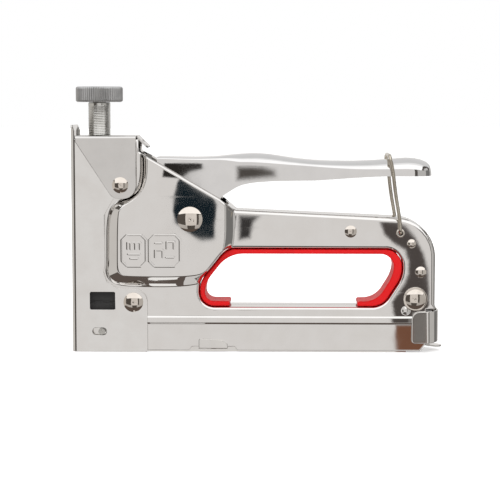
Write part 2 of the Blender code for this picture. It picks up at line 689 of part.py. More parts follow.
def make_lever(parent):
    """Pressed channel: a hull lofted along its length, hollowed from below and from the front."""
    hull = loft("handle_lever", [lever_section(*place, LEVER_HALF, 0.0) for place in LEVER_STATIONS])
    inner_half = LEVER_HALF - LEVER_SHEET
    x, *heights = LEVER_STATIONS[0]
    inside = []
    for x, crown, edge, low in [(x - 3.0, *heights)] + LEVER_STATIONS[:-2]:
        inside.append(lever_section(x, crown, edge - 0.6, low - 4.0, inner_half, LEVER_SHEET))
    boolean(hull, loft("lever_inside", inside))
    boolean(hull, rod("lever_pivot_hole", PIVOT_R + GAP, *across(*PIVOT, 15.0)))
    finish(hull, (0.80, 0.79, 0.78), 0.08, parent=parent)

    x, z = PIVOT
    bush = turned("pivot_bush", [
        (PIVOT_R + GAP, 7.9), (4.6, 7.9), (4.6, -7.9), (PIVOT_R + GAP, -7.9),
    ], (x, 0.0, z), True, closed=True)
    finish(bush, (0.62, 0.50, 0.25), 0.3, parent=parent)
    arm = slab("lifting_arm", [rounded(LIFTING_ARM), ring(PIVOT, 4.9)], -2.5, 2.5)
    finish(arm, (0.48, 0.47, 0.46), 0.3, parent=parent)

    spring_points = coil((x, 0.0, z), 1, 5.9, 3.6, 7.0, 2.5, 12)
    first, last = Vector(spring_points[0]), Vector(spring_points[-1])
    start_leg = [first + Vector((0.6, 0.0, 18.0))]
    end_leg = [last + Vector((-0.6, 0.0, -16.0))]
    spring = wire("return_spring", start_leg + spring_points + end_leg, 0.6)
    finish(spring, (0.30, 0.30, 0.31), 0.35, parent=parent)


def make_liner():
    liner = slab("grip_liner", [rounded(LINER)], -LINER_HALF, LINER_HALF)
    soften(liner)
    finish(liner, (0.72, 0.01, 0.015), 0.3, 0.0)


def make_magazine():
    outer, sheet = CHANNEL_HALF, CHANNEL_SHEET
    channel = slab("magazine_channel", [[
        (-outer, 0.0), (outer, 0.0), (outer, CHANNEL_TOP), (outer - sheet, CHANNEL_TOP),
        (outer - sheet, sheet), (-outer + sheet, sheet), (-outer + sheet, CHANNEL_TOP),
        (-outer, CHANNEL_TOP),
    ]], CHANNEL_FRONT, 66.8, "YZ")
    finish(channel, (0.70, 0.69, 0.67), 0.2)
    inner, low = RAIL_HALF - 0.8, sheet + GAP
    rail = slab("staple_rail", [[
        (-RAIL_HALF, low), (-inner, low), (-inner, RAIL_TOP - 0.8), (inner, RAIL_TOP - 0.8),
        (inner, low), (RAIL_HALF, low), (RAIL_HALF, RAIL_TOP), (-RAIL_HALF, RAIL_TOP),
    ]], CHANNEL_FRONT, RAIL_REAR, "YZ")
    finish(rail, (0.62, 0.61, 0.60), 0.25)

    for name, side in SIDES:
        low, high = sorted((side * (GRIP_HALF + GAP), side * (GRIP_HALF + 1.0)))
        clip = slab("saddle_clip_" + name, [rounded(SADDLE_EAR)], low, high)
        low, high = sorted((side * 8.0, side * (GRIP_HALF + 0.6)))
        boolean(clip, box("saddle_lip_" + name, (-26.5, low, 1.1), (-13.5, high, 1.9)), "UNION")
        finish(clip, (0.76, 0.75, 0.73), 0.12)


def make_pull_out(parent, pusher_parent):
    """What slides out of the magazine: rod, end block, latch clip and tongue, spring and pusher."""
    pull_rod = rod("magazine_rod", ROD_R, (-79.6, 0.0, ROD_Z), (79.9, 0.0, ROD_Z), 16)
    finish(pull_rod, (0.60, 0.60, 0.58), 0.2, parent=parent)
    block = box("end_block", (67.4, -6.6, 3.9), (79.2, 6.6, 17.4))
    boolean(block, rod("end_block_bore", ROD_R + GAP, (60.0, 0.0, ROD_Z), (90.0, 0.0, ROD_Z), 16))
    finish(block, (0.50, 0.49, 0.48), 0.3, parent=parent)

    half, sheet, bend = 10.3, 0.9, 5.4
    rear = 81.3
    clip_line = rounded([
        (60.0, half, 0.0), (rear, half, bend), (rear, -half, bend), (60.0, -half, 0.0),
        (60.0, -half + sheet, 0.0), (rear - sheet, -half + sheet, bend - sheet),
        (rear - sheet, half - sheet, bend - sheet), (60.0, half - sheet, 0.0),
    ], 15.0)
    clip = slab("latch_clip", [clip_line], 0.0, 25.0, "XY")
    boolean(clip, slab("latch_clip_side", [rounded(CLIP_SIDE)], -15.0, 15.0), "INTERSECT")
    finish(clip, (0.70, 0.68, 0.66), 0.1, parent=parent)
    tongue = slab("latch_tongue", [rounded(TONGUE_SIDE)], -5.5, 5.5)
    finish(tongue, (0.66, 0.66, 0.67), 0.15, parent=parent)

    spring = wire("pusher_spring", coil((0.0, 0.0, ROD_Z), 0, 2.25, -67.2, 66.8, 20, 7), 0.3)
    spring.data.bevel_resolution = 1
    finish(spring, (0.32, 0.32, 0.33), 0.35, parent=parent)

    outside, inside, front, back = 5.9, RAIL_HALF + GAP, -79.8, -68.0
    pusher = slab("pusher", [[
        (-outside, 1.3), (-inside, 1.3), (-inside, RAIL_TOP + GAP), (inside, RAIL_TOP + GAP),
        (inside, 1.3), (outside, 1.3), (outside, 12.6), (3.2, 12.6), (3.2, 17.4), (-3.2, 17.4),
        (-3.2, 12.6), (-outside, 12.6),
    ]], front, back, "YZ")
    boolean(pusher, rod("pusher_bore", ROD_R + GAP, (-90.0, 0.0, ROD_Z), (-60.0, 0.0, ROD_Z), 16))
    finish(pusher, (0.66, 0.65, 0.62), 0.25, parent=pusher_parent)


for old in list(bpy.data.objects):
    bpy.data.objects.remove(old)
PARTS = collection("staple_gun")
CUTTERS = collection("cutters")

lever_joint = empty("lever_squeeze_axis", (PIVOT[0], 0.0, PIVOT[1]))
hammer_joint = empty("hammer_lift_axis", (SCREW_X, 0.0, HAMMER_BOTTOM))
seat_joint = empty("tension_slide_axis", (SCREW_X, 0.0, SPRING_SEAT_BOTTOM))
knob_joint = empty("knob_turn_axis", (SCREW_X, 0.0, KNOB_BOTTOM))
bail_joint = empty("bail_swing_axis", (BAIL_HINGE[0], 0.0, BAIL_HINGE[1]))
magazine_joint = empty("magazine_pull_axis", (RAIL_REAR, 0.0, ROD_Z))
pusher_joint = empty("pusher_slide_axis", (-68.0, 0.0, ROD_Z))

left_shell = make_shell("shell_left", -1.0)
make_mirror_twin(left_shell, "shell_right", (0.79, 0.77, 0.75), 0.08)
make_nose_plate()
make_head_cap()
make_fasteners()
make_eyelet()
make_nut()
make_bumper()
make_liner()
make_magazine()
make_screw_and_knob(knob_joint)
make_hammer(hammer_joint)
make_spring_parts(seat_joint, hammer_joint)
make_lever(lever_joint)
make_bail(bail_joint)
make_pull_out(magazine_joint, pusher_joint)
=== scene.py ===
import math

import bmesh
import bpy
import numpy as np
from mathutils import Matrix, Vector
from mathutils.geometry import delaunay_2d_cdt


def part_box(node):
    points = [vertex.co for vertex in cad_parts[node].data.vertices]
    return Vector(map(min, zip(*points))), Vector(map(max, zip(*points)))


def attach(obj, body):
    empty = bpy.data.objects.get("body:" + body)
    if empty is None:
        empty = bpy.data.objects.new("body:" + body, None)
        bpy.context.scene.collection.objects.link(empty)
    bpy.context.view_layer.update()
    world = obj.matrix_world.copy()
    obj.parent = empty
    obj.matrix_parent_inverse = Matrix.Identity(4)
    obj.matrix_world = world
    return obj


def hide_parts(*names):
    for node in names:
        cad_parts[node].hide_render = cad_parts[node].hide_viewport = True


# The looks of the staple gun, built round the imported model. Lengths here are in millimetres and
# `MM` turns them into metres. +Z is up, the nose is at -X, and the left side is at -Y.

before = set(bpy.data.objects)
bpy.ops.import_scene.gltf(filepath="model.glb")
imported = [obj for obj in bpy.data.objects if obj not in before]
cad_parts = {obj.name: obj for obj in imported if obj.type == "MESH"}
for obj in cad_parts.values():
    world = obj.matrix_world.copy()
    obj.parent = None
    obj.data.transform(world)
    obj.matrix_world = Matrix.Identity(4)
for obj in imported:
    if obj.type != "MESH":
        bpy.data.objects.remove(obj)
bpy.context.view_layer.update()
MM = 0.001


def centre(node):
    low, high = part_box(node)
    return (low + high) / 2.0 / MM


def span(node):
    low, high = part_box(node)
    return low / MM, high / MM


# Driving dimensions, read from the frame where a node holds them.
GRIP_HALF = 9.0
BULGE_HALF = -span("shell_left")[0].y
RISE = BULGE_HALF - GRIP_HALF
SHEET = 0.8
SEAM = 0.15
NOSE_FRONT = span("nose_plate")[0].x
NOSE_HALF = span("nose_plate")[1].y
TAB_TOP = span("nose_plate")[1].z
CAP_HALF = span("head_cap")[1].y
CAP_TOP = span("head_cap")[1].z
CLIP_HALF = span("latch_clip")[1].y
CLIP_REAR = span("latch_clip")[1].x
EYELET = centre("bail_eyelet")
SCREW_X = centre("adjusting_screw").x
LEVER_HALF = span("handle_lever")[1].y
LEAD = 1.5
STARTS = 2

# Outlines: corners (x, z, corner radius, roll), where roll is the radius of the pressed edge.
SHELL_OUTLINE = [
    (-81.9, 0.6, 0.0, 0.3), (-81.9, 95.6, 0.0, 0.3), (-53.0, 95.6, 0.0, 1.2), (-53.0, 90.2, 0.0, 1.0),
    (-16.5, 68.9, 2.0, 0.8), (-9.8, 64.0, 2.0, 1.6), (79.6, 60.0, 18.0, 2.0), (79.6, 22.0, 0.0, 2.0),
    (79.6, 19.6, 0.0, 0.5), (75.6, 19.6, 0.0, 0.3), (75.6, 3.9, 0.0, 0.3), (73.0, 0.6, 0.0, 0.3),
    (-9.2, 0.6, 0.8, 0.3), (-10.4, 2.3, 0.8, 0.3), (-29.6, 2.3, 0.8, 0.3), (-30.8, 0.6, 0.8, 0.3),
]
OPENING_ROLL = 1.5
LEVER_SLOT_END = -13.0
MAGAZINE_TOP = 19.5
FINGER_OPENING = [
    (-14.3, 46.7, 8.5), (64.95, 46.7, 7.7), (64.95, 34.4, 12.0), (56.2, 20.4, 9.0),
    (-26.1, 20.4, 6.5), (-26.1, 31.7, 8.7),
]
BULGE_FOOT = [
    (-52.6, 90.1), (-52.6, 77.0), (-55.6, 70.7), (-64.1, 68.0), (-68.0, 61.7), (-68.2, 39.2),
    (-68.8, 36.0), (-67.3, 32.0), (-62.3, 29.0), (-27.0, 29.0), (-20.0, 35.0), (-10.1, 44.0),
    (-10.1, 68.0), (-10.6, 72.0),
]
BULGE_EDGE = [
    (-48.7, 87.85), (-48.9, 77.0), (-52.9, 69.8), (-61.0, 65.0), (-62.0, 61.7), (-62.3, 40.5),
    (-62.0, 37.4), (-60.9, 35.6), (-58.5, 34.7), (-27.2, 34.7), (-22.0, 38.0), (-14.8, 44.0),
    (-14.8, 71.0), (-15.3, 75.0),
]
RIDGE = (12.6, 13.3, 15.5, 16.2)
RIDGE_RISE = 0.35
DIMPLE = (66.5, 18.9, 2.0)
DIMPLE_RISE = 0.45
EMBLEMS = [(-60.6, -49.8), (-48.4, -34.6)]
EMBLEM_LOW, EMBLEM_HIGH = 38.9, 53.1
EMBLEM_CUT = 2.3
LINE_HALF, LINE_RISE = 0.5, 0.15
# Marks in the two pictograms: which one, left and right of its middle, foot and top. A bar has no height.
MARKS = [
    (0, -2.8, -1.4, 46.6, 49.6), (0, -0.7, 0.7, 46.6, 49.6), (0, 1.4, 2.8, 46.6, 49.6),
    (0, -2.6, 2.6, 44.4, 44.4), (0, -1.6, 1.6, 42.4, 42.4), (1, -4.2, -0.8, 43.0, 46.2),
    (1, 0.6, 4.2, 43.0, 43.0), (1, 1.0, 4.2, 46.8, 50.0), (1, -4.2, -1.2, 49.4, 49.4),
]
NOSE_SIDE = [
    (-49.5, 0.0, 0.8), (-49.5, 28.6, 6.1), (-62.4, 28.6, 2.0), (-67.7, 31.7, 3.0), (-69.2, 36.0, 1.0),
    (-68.6, 39.0, 0.0), (-68.5, 62.0, 2.0), (-64.7, 68.9, 2.5), (-56.2, 72.4, 3.0), (-56.2, 95.6, 0.0),
]
NOSE_TAB = [(11.1, 95.6, 0.0), (11.1, 99.2, 0.4), (8.8, TAB_TOP, 0.8)]
NOSE_WINDOW = [(-75.4, 19.1, 0.7), (-64.1, 19.1, 0.7), (-64.1, 27.1, 0.7), (-75.4, 27.1, 0.7)]
NOSE_SLOT = [(-74.4, 7.5, 1.6), (-68.1, 7.5, 1.6), (-68.1, 10.9, 1.6), (-74.4, 10.9, 1.6)]
CAP_EAR = [(-54.2, 69.0, 6.1), (-64.6, 69.0, 5.0), (-81.3, 94.6, 0.0)]
LINER = [
    (-12.4, 20.7, 1.0), (-12.4, 22.9, 1.0), (-23.7, 22.9, 4.2), (-23.7, 30.9, 13.0),
    (-13.2, 44.3, 14.0), (61.0, 44.3, 8.5), (61.0, 35.3, 14.0), (53.4, 23.0, 12.0),
    (44.8, 22.9, 1.0), (44.8, 20.7, 1.0), (56.0, 20.7, 8.8), (64.65, 34.4, 11.8),
    (64.65, 46.4, 7.4), (-14.2, 46.4, 8.3), (-25.8, 31.7, 8.5), (-25.8, 20.7, 6.2),
]
CORNER_SHARE = 0.65
SHARPEST = 0.4
SMALLEST = 0.15
# Lever: (x, crown height, height of the side's top edge, height of the lower edge).
LEVER_STATIONS = np.array([
    (-45.0, 87.7, 87.2, 79.0), (-41.5, 87.65, 87.1, 67.0), (-38.0, 87.6, 86.9, 57.0),
    (-34.5, 87.55, 86.7, 53.4), (-30.1, 87.5, 86.6, 52.3), (-25.6, 87.5, 86.4, 53.9),
    (-22.5, 87.6, 86.2, 57.4), (-19.6, 87.75, 86.0, 64.0), (-16.7, 88.0, 85.8, 69.0),
    (-12.4, 88.5, 85.4, 72.4), (-8.2, 88.9, 85.1, 74.8), (-2.2, 89.2, 84.9, 76.2),
    (2.9, 89.0, 84.6, 76.7), (7.9, 88.4, 84.3, 77.0), (13.0, 87.6, 84.0, 77.1),
    (19.1, 86.8, 83.7, 77.2), (26.0, 86.2, 83.2, 77.3), (33.5, 85.9, 82.6, 77.8),
    (45.2, 85.9, 81.9, 78.6), (55.1, 86.4, 81.7, 79.1), (61.9, 86.9, 81.6, 79.2),
    (67.5, 87.2, 81.5, 79.2), (71.3, 86.8, 81.2, 79.2), (74.2, 86.0, 80.8, 79.2),
    (76.2, 84.8, 80.4, 79.2), (77.5, 82.8, 80.0, 79.2), (78.0, 80.6, 79.6, 79.2),
])


# ---- Flat geometry: outlines, distances and patterns cut from sheet ---------------------------

def rounded(corners, step=9.0):
    """Closed outline (x, z, roll) through corners (x, z, radius[, roll]), with arcs at the corners."""
    made = []
    count = len(corners)
    for index, corner in enumerate(corners):
        here, radius = Vector(corner[:2]), corner[2]
        roll = corner[3] if len(corner) > 3 else 0.0
        back = Vector(corners[index - 1][:2]) - here
        ahead = Vector(corners[(index + 1) % count][:2]) - here
        if radius == 0.0:
            made.append((here.x, here.y, roll))
            continue
        half = back.angle(ahead) / 2.0
        reach = min(radius / math.tan(half), CORNER_SHARE * min(back.length, ahead.length))
        radius = reach * math.tan(half)
        middle = here + (back.normalized() + ahead.normalized()).normalized() * radius / math.sin(half)
        start = here + back.normalized() * reach - middle
        turn = start.angle_signed(here + ahead.normalized() * reach - middle)
        steps = max(2, math.ceil(abs(math.degrees(turn)) / step))
        for stage in range(steps + 1):
            point = middle + Matrix.Rotation(-turn * stage / steps, 2) @ start
            made.append((point.x, point.y, roll))
    return np.array(made)


def circle(x, z, radius, count=32):
    angles = np.linspace(0.0, 2.0 * math.pi, count, endpoint=False)
    return np.column_stack((x + radius * np.cos(angles), z + radius * np.sin(angles), 0.0 * angles))


def softened(points, rounds=3):
    """Open line with its corners cut, which keeps its ends and the count of its twin."""
    line = np.array(points, float)
    for _ in range(rounds):
        low = 0.75 * line[:-1] + 0.25 * line[1:]
        high = 0.25 * line[:-1] + 0.75 * line[1:]
        line = np.vstack((line[:1], np.stack((low, high), axis=1).reshape(-1, 2), line[-1:]))
    return line


def moved_in(loop, distance):
    """Closed loop moved to its inner side by distance, one for all or one for each point."""
    points = loop[:, :2]
    last = np.roll(points, 1, axis=0)
    area = np.sum(last[:, 0] * points[:, 1] - points[:, 0] * last[:, 1])
    side = -1.0 if area > 0.0 else 1.0

    def normal(run):
        run = run / np.maximum(np.linalg.norm(run, axis=1, keepdims=True), 1e-9)
        return np.column_stack((run[:, 1], -run[:, 0])) * side

    first = normal(points - last)
    mean = first + normal(np.roll(points, -1, axis=0) - points)
    mean /= np.linalg.norm(mean, axis=1, keepdims=True)
    stretch = np.maximum(np.sum(mean * first, axis=1), SHARPEST)
    return np.column_stack((points + mean * (distance / stretch)[:, None], loop[:, 2]))


def nearest(points, line, closed=True):
    """Distance from each point to a line, and the line's third value where it is nearest."""
    if line.shape[1] == 2:
        line = np.column_stack((line, np.zeros(len(line))))
    ends = np.roll(line, -1, axis=0) if closed else line[1:]
    best = np.full(len(points), 1e9)
    value = np.zeros(len(points))
    for start, end in zip(line, ends):
        run = end[:2] - start[:2]
        part = np.clip((points - start[:2]) @ run / max(run @ run, 1e-12), 0.0, 1.0)
        gap = np.hypot(*(points - start[:2] - part[:, None] * run).T)
        closer = gap < best
        best[closer] = gap[closer]
        value[closer] = (start[2] + (end[2] - start[2]) * part)[closer]
    return best, value


def inside(points, loop):
    hit = np.zeros(len(points), bool)
    x, z = points[:, 0], points[:, 1]
    for start, end in zip(loop, np.roll(loop, -1, axis=0)):
        if start[1] == end[1]:
            continue
        crosses = (start[1] > z) != (end[1] > z)
        hit ^= crosses & (x < start[0] + (z - start[1]) * (end[0] - start[0]) / (end[1] - start[1]))
    return hit


def pattern(outline, holes=(), loops=(), lines=(), dots=None):
    """Triangles of a flat pattern. Loops and lines inside it become edges, and dots become points."""
    points, edges = [], []
    parts = [(part, True) for part in (outline, *holes, *loops)] + [(part, False) for part in lines]
    for line, closed in parts:
        first = len(points)
        points.extend(Vector(place[:2]) for place in line)
        edges.extend((first + i, first + i + 1) for i in range(len(line) - 1))
        if closed:
            edges.append((len(points) - 1, first))
    if dots is not None:
        points.extend(Vector(place) for place in dots)
    flat, _, faces, *_ = delaunay_2d_cdt(points, edges, [], 0, 1e-4)
    flat = np.array([tuple(place) for place in flat])
    faces = np.array([tuple(face) for face in faces])
    middles = flat[faces].mean(axis=1)
    kept = inside(middles, outline)
    for hole in holes:
        kept &= ~inside(middles, hole)
    faces = faces[kept]
    used, faces = np.unique(faces, return_inverse=True)
    return flat[used], faces.reshape(-1, 3)


def guards(outline, holes=(), gap=0.4):
    """Loops just inside a sheet's cut edges, which keep its faces flat up to their rounding."""
    return [moved_in(outline, gap)] + [moved_in(hole, -gap) for hole in holes]


# ---- Objects ---------------------------------------------------------------------------------

def add(name, mesh_or_curve):
    obj = bpy.data.objects.new(name, mesh_or_curve)
    bpy.context.scene.collection.objects.link(obj)
    return obj


def mesh_object(name, points, faces, smooth=True):
    mesh = bpy.data.meshes.new(name)
    places = [tuple(place) for place in np.asarray(points) * MM]
    mesh.from_pydata(places, [], [tuple(map(int, face)) for face in faces])
    mesh.validate()
    if smooth:
        mesh.shade_smooth()
    return add(name, mesh)


def thicken(obj, thickness, edge=0.0, even=False):
    """Sheet grown inwards from its outer face, with fine rounded cut edges."""
    if edge:
        joined = obj.modifiers.new("joined", "WELD")
        joined.merge_threshold = SMALLEST * MM
    grown = obj.modifiers.new("thickness", "SOLIDIFY")
    grown.thickness = thickness * MM
    grown.offset = -1.0
    grown.use_even_offset = even
    if edge:
        round_edges(obj, edge)
    return settle(obj)


def round_edges(obj, width):
    bevel = obj.modifiers.new("edge", "BEVEL")
    bevel.width = width * MM
    bevel.segments = 2
    bevel.limit_method = "ANGLE"
    bevel.angle_limit = math.radians(50.0)
    bevel.use_clamp_overlap = False


def evaluated_mesh(obj):
    bpy.context.view_layer.update()
    return bpy.data.meshes.new_from_object(obj.evaluated_get(bpy.context.evaluated_depsgraph_get()))


def settle(obj, angle=40.0):
    """Modifiers made part of the mesh, sharp cut edges, and normals that keep flat faces flat."""
    mesh = evaluated_mesh(obj)
    obj.modifiers.clear()
    obj.data = mesh
    mesh.shade_smooth()
    mesh.set_sharp_from_angle(angle=math.radians(angle))
    return keep_flat(obj)


def keep_flat(obj):
    weighted = obj.modifiers.new("normals", "WEIGHTED_NORMAL")
    weighted.keep_sharp = True
    weighted.weight = 100
    return obj


def mirrored(obj, name):
    mesh = obj.data.copy()
    mesh.transform(Matrix.Diagonal((1.0, -1.0, 1.0, 1.0)))
    mesh.flip_normals()
    return keep_flat(add(name, mesh))


def grid_faces(rows, columns, wrap=False):
    """Quads of a grid of rows by columns, whose columns may close on themselves."""
    faces = []
    for row in range(rows - 1):
        for column in range(columns if wrap else columns - 1):
            after = (column + 1) % columns
            faces.append((row * columns + column, row * columns + after,
                          (row + 1) * columns + after, (row + 1) * columns + column))
    return faces


def turned(name, profile, at, along_y=False, steps=56, radius_of=None):
    """Turned mesh from a profile (radius, height) that runs down its outer side."""
    points = []
    for radius, height in profile:
        for index in range(steps):
            angle = 2.0 * math.pi * index / steps
            r = radius_of(radius, height, angle) if radius_of else radius
            points.append((r * math.cos(angle), r * math.sin(angle), height))
    points = np.array(points)
    faces = [face[::-1] for face in grid_faces(len(profile), steps, wrap=True)]
    if along_y:
        points = np.column_stack((points[:, 0], points[:, 2], -points[:, 1]))
    obj = mesh_object(name, points + np.array(at), faces)
    close_poles(obj)
    return obj


def close_poles(obj):
    """Merge the points at a turned mesh's poles, and shade it by angle."""
    edit = bmesh.new()
    edit.from_mesh(obj.data)
    bmesh.ops.remove_doubles(edit, verts=edit.verts, dist=1e-7)
    bmesh.ops.recalc_face_normals(edit, faces=edit.faces)
    edit.to_mesh(obj.data)
    edit.free()
    obj.data.set_sharp_from_angle(angle=math.radians(35.0))


def wire(name, points, radius, resolution=5):
    data = bpy.data.curves.new(name, "CURVE")
    data.dimensions = "3D"
    data.bevel_depth = radius * MM
    data.bevel_resolution = resolution
    data.use_fill_caps = True
    spline = data.splines.new("POLY")
    spline.points.add(len(points) - 1)
    for point, place in zip(spline.points, points):
        point.co = (*(Vector(place) * MM), 1.0)
    curve = add(name + "_curve", data)
    obj = add(name, evaluated_mesh(curve))
    bpy.data.objects.remove(curve)
    obj.data.shade_smooth()
    close_poles(obj)
    return obj


def coil(middle, axis, radius, start, end, turns, per_turn=24):
    others = [index for index in range(3) if index != axis]
    points = []
    total = int(turns * per_turn)
    for stage in range(total + 1):
        angle = 2.0 * math.pi * stage / per_turn
        place = [0.0, 0.0, 0.0]
        place[axis] = start + (end - start) * stage / total
        place[others[0]] = middle[others[0]] + radius * math.cos(angle)
        place[others[1]] = middle[others[1]] + radius * math.sin(angle)
        points.append(tuple(place))
    return points


def pillow(name, outline, half, roll):
    """Closed solid between two mirrored faces at y = -half and y = half, with rounded rims."""
    loops = []
    for angle in (20, 40, 60, 75, 90):
        loops.append(moved_in(outline, roll * (1.0 - math.cos(math.radians(angle)))))
    flat, faces = pattern(outline, loops=loops)
    gap = nearest(flat, outline)[0]
    depth = np.clip(roll - gap, 0.0, None)
    y = half - roll + np.sqrt(np.maximum(roll ** 2 - depth ** 2, 0.0))
    count = len(flat)
    points = np.vstack([np.column_stack((flat[:, 0], side * y, flat[:, 1])) for side in (-1.0, 1.0)])
    rim = open_edges(faces)
    back = [tuple(int(i) + count for i in face[::-1]) for face in faces]
    walls = [(b, a, a + count, b + count) for a, b in rim]
    obj = mesh_object(name, points, [*map(tuple, faces), *back, *walls])
    return settle(obj, 60.0)


def open_edges(faces):
    """Edges with a face on one side only, in that face's direction."""
    sides = set()
    for a, b, c in faces:
        sides.update(((int(a), int(b)), (int(b), int(c)), (int(c), int(a))))
    return sorted(edge for edge in sides if (edge[1], edge[0]) not in sides)


def bar(name, section, low, high, edge):
    """Closed outline (y, z) run along X from low to high, with rounded edges."""
    section = np.array(section)
    count = len(section)
    points = [(x, y, z) for x in (low, high) for y, z in section]
    faces = [(i, (i + 1) % count, count + (i + 1) % count, count + i) for i in range(count)]
    faces += [tuple(reversed(range(count))), tuple(range(count, 2 * count))]
    obj = mesh_object(name, points, faces, smooth=False)
    close_poles(obj)
    round_edges(obj, edge)
    return settle(obj)


def place_piece(obj, body, slot_name, material, *nodes):
    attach(obj, body)
    if nodes:
        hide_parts(*nodes)
    obj.data.materials.clear()
    obj.data.materials.append(material)
    return obj


# ---- Materials -------------------------------------------------------------------------------

def new_material(name, colour, roughness, metallic):
    made = bpy.data.materials.new(name)
    made.use_nodes = True
    tree = made.node_tree
    shader = tree.nodes["Principled BSDF"]
    shader.inputs["Base Color"].default_value = (*colour, 1.0)
    shader.inputs["Roughness"].default_value = roughness
    shader.inputs["Metallic"].default_value = metallic
    return made, tree, shader


def noise(tree, scale, detail=4.0, stretch=(1.0, 1.0, 1.0), seed=0.0):
    """Noise over the piece's own coordinates, in metres."""
    place = tree.nodes.new("ShaderNodeTexCoord")
    mapping = tree.nodes.new("ShaderNodeMapping")
    mapping.inputs["Scale"].default_value = stretch
    mapping.inputs["Location"].default_value = (seed, seed * 0.7, seed * 1.3)
    texture = tree.nodes.new("ShaderNodeTexNoise")
    texture.inputs["Scale"].default_value = scale
    texture.inputs["Detail"].default_value = detail
    tree.links.new(place.outputs["Object"], mapping.inputs["Vector"])
    tree.links.new(mapping.outputs["Vector"], texture.inputs["Vector"])
    return texture.outputs["Fac"]


def ranged(tree, value, from_low, from_high, to_low, to_high):
    node = tree.nodes.new("ShaderNodeMapRange")
    node.inputs["From Min"].default_value = from_low
    node.inputs["From Max"].default_value = from_high
    node.inputs["To Min"].default_value = to_low
    node.inputs["To Max"].default_value = to_high
    tree.links.new(value, node.inputs["Value"])
    return node.outputs["Result"]


def blended(tree, factor, first, second):
    node = tree.nodes.new("ShaderNodeMix")
    node.data_type = "RGBA"
    node.inputs[6].default_value = (*first, 1.0)
    node.inputs[7].default_value = (*second, 1.0)
    tree.links.new(factor, node.inputs[0])
    return node.outputs[2]


def summed(tree, first, second, operation="ADD"):
    node = tree.nodes.new("ShaderNodeMath")
    node.operation = operation
    tree.links.new(first, node.inputs[0])
    if isinstance(second, float):
        node.inputs[1].default_value = second
    else:
        tree.links.new(second, node.inputs[1])
    return node.outputs[0]


def bumped(tree, shader, layers):
    """Chain of bumps: (height, depth in millimetres) for each layer."""
    last = None
    for height, depth in layers:
        node = tree.nodes.new("ShaderNodeBump")
        node.inputs["Distance"].default_value = depth * MM
        tree.links.new(height, node.inputs["Height"])
        if last:
            tree.links.new(last, node.inputs["Normal"])
        last = node.outputs["Normal"]
    tree.links.new(last, shader.inputs["Normal"])


def bright_metal(name, colour, tint, roughness, wave, seed, grain=0.0002, worn=0.05):
    """Plated sheet: long press waves, fine grain, hairline scratches and hazy smudges."""
    made, tree, shader = new_material(name, colour, roughness, 1.0)
    haze = noise(tree, 55.0, 5.0, seed=seed)
    hairs = noise(tree, 260.0, 6.0, (0.12, 1.0, 1.0), seed + 3.0)
    scratch = ranged(tree, hairs, 0.62, 0.75, 0.0, 1.0)
    smear = ranged(tree, haze, 0.45, 0.85, roughness, roughness + worn)
    dulled = summed(tree, scratch, 0.05, "MULTIPLY")
    tree.links.new(summed(tree, smear, dulled), shader.inputs["Roughness"])
    cloud = ranged(tree, noise(tree, 140.0, 6.0, seed=seed + 7.0), 0.3, 0.75, 0.0, 1.0)
    tree.links.new(blended(tree, cloud, colour, tint), shader.inputs["Base Color"])
    bumped(tree, shader, [
        (noise(tree, 42.0, 2.0, seed=seed + 1.0), wave), (noise(tree, 1900.0, 3.0, seed=seed), grain),
        (scratch, -0.0004),
    ])
    return made


def cast_steel(name, colour, tint, roughness, grain=0.01, scale=900.0, seed=0.0):
    """Dull machined or plated steel with a fine grain and darker stains."""
    made, tree, shader = new_material(name, colour, roughness, 1.0)
    stain = ranged(tree, noise(tree, 160.0, 6.0, seed=seed), 0.35, 0.7, 0.0, 1.0)
    tree.links.new(blended(tree, stain, colour, tint), shader.inputs["Base Color"])
    wear = noise(tree, 420.0, 4.0, seed=seed + 2.0)
    tree.links.new(ranged(tree, wear, 0.3, 0.7, roughness, roughness + 0.15), shader.inputs["Roughness"])
    bumped(tree, shader, [(noise(tree, scale, 4.0, seed=seed + 5.0), grain)])
    return made


def moulded(name, colour, tint, roughness, grain, scale):
    """Moulded plastic or rubber with a fine texture and slightly uneven colour."""
    made, tree, shader = new_material(name, colour, roughness, 0.0)
    drift = ranged(tree, noise(tree, 70.0, 3.0), 0.3, 0.7, 0.0, 1.0)
    tree.links.new(blended(tree, drift, colour, tint), shader.inputs["Base Color"])
    wear = noise(tree, 300.0, 4.0, seed=4.0)
    tree.links.new(ranged(tree, wear, 0.3, 0.7, roughness, roughness + 0.12), shader.inputs["Roughness"])
    pores, swell = noise(tree, scale, 3.0, seed=1.0), noise(tree, 90.0, 2.0, seed=2.0)
    bumped(tree, shader, [(pores, grain), (swell, 0.06)])
    return made


CHROME = (0.80, 0.785, 0.77)
CHROME_TINT = (0.77, 0.75, 0.73)
shell_chrome = bright_metal("shell_chrome", CHROME, CHROME_TINT, 0.012, 0.006, 0.0)
plate_chrome = bright_metal("plate_chrome", (0.82, 0.81, 0.795), CHROME_TINT, 0.02, 0.006, 11.0)
cap_chrome = bright_metal("cap_chrome", (0.70, 0.685, 0.67), (0.66, 0.645, 0.63), 0.03, 0.006, 23.0)
lever_chrome = bright_metal("lever_chrome", (0.80, 0.79, 0.785), (0.75, 0.74, 0.735), 0.012, 0.006, 31.0)
rivet_chrome = bright_metal(
    "rivet_chrome", (0.82, 0.76, 0.70), (0.62, 0.56, 0.50), 0.04, 0.003, 41.0, grain=0.0006, worn=0.12)
clip_chrome = bright_metal("clip_chrome", (0.79, 0.775, 0.75), (0.74, 0.72, 0.70), 0.02, 0.005, 53.0)
wire_steel = bright_metal(
    "wire_steel", (0.70, 0.65, 0.56), (0.45, 0.40, 0.33), 0.16, 0.004, 61.0, grain=0.003, worn=0.15)
zinc = cast_steel("zinc", (0.62, 0.61, 0.58), (0.52, 0.51, 0.48), 0.22, 0.004)
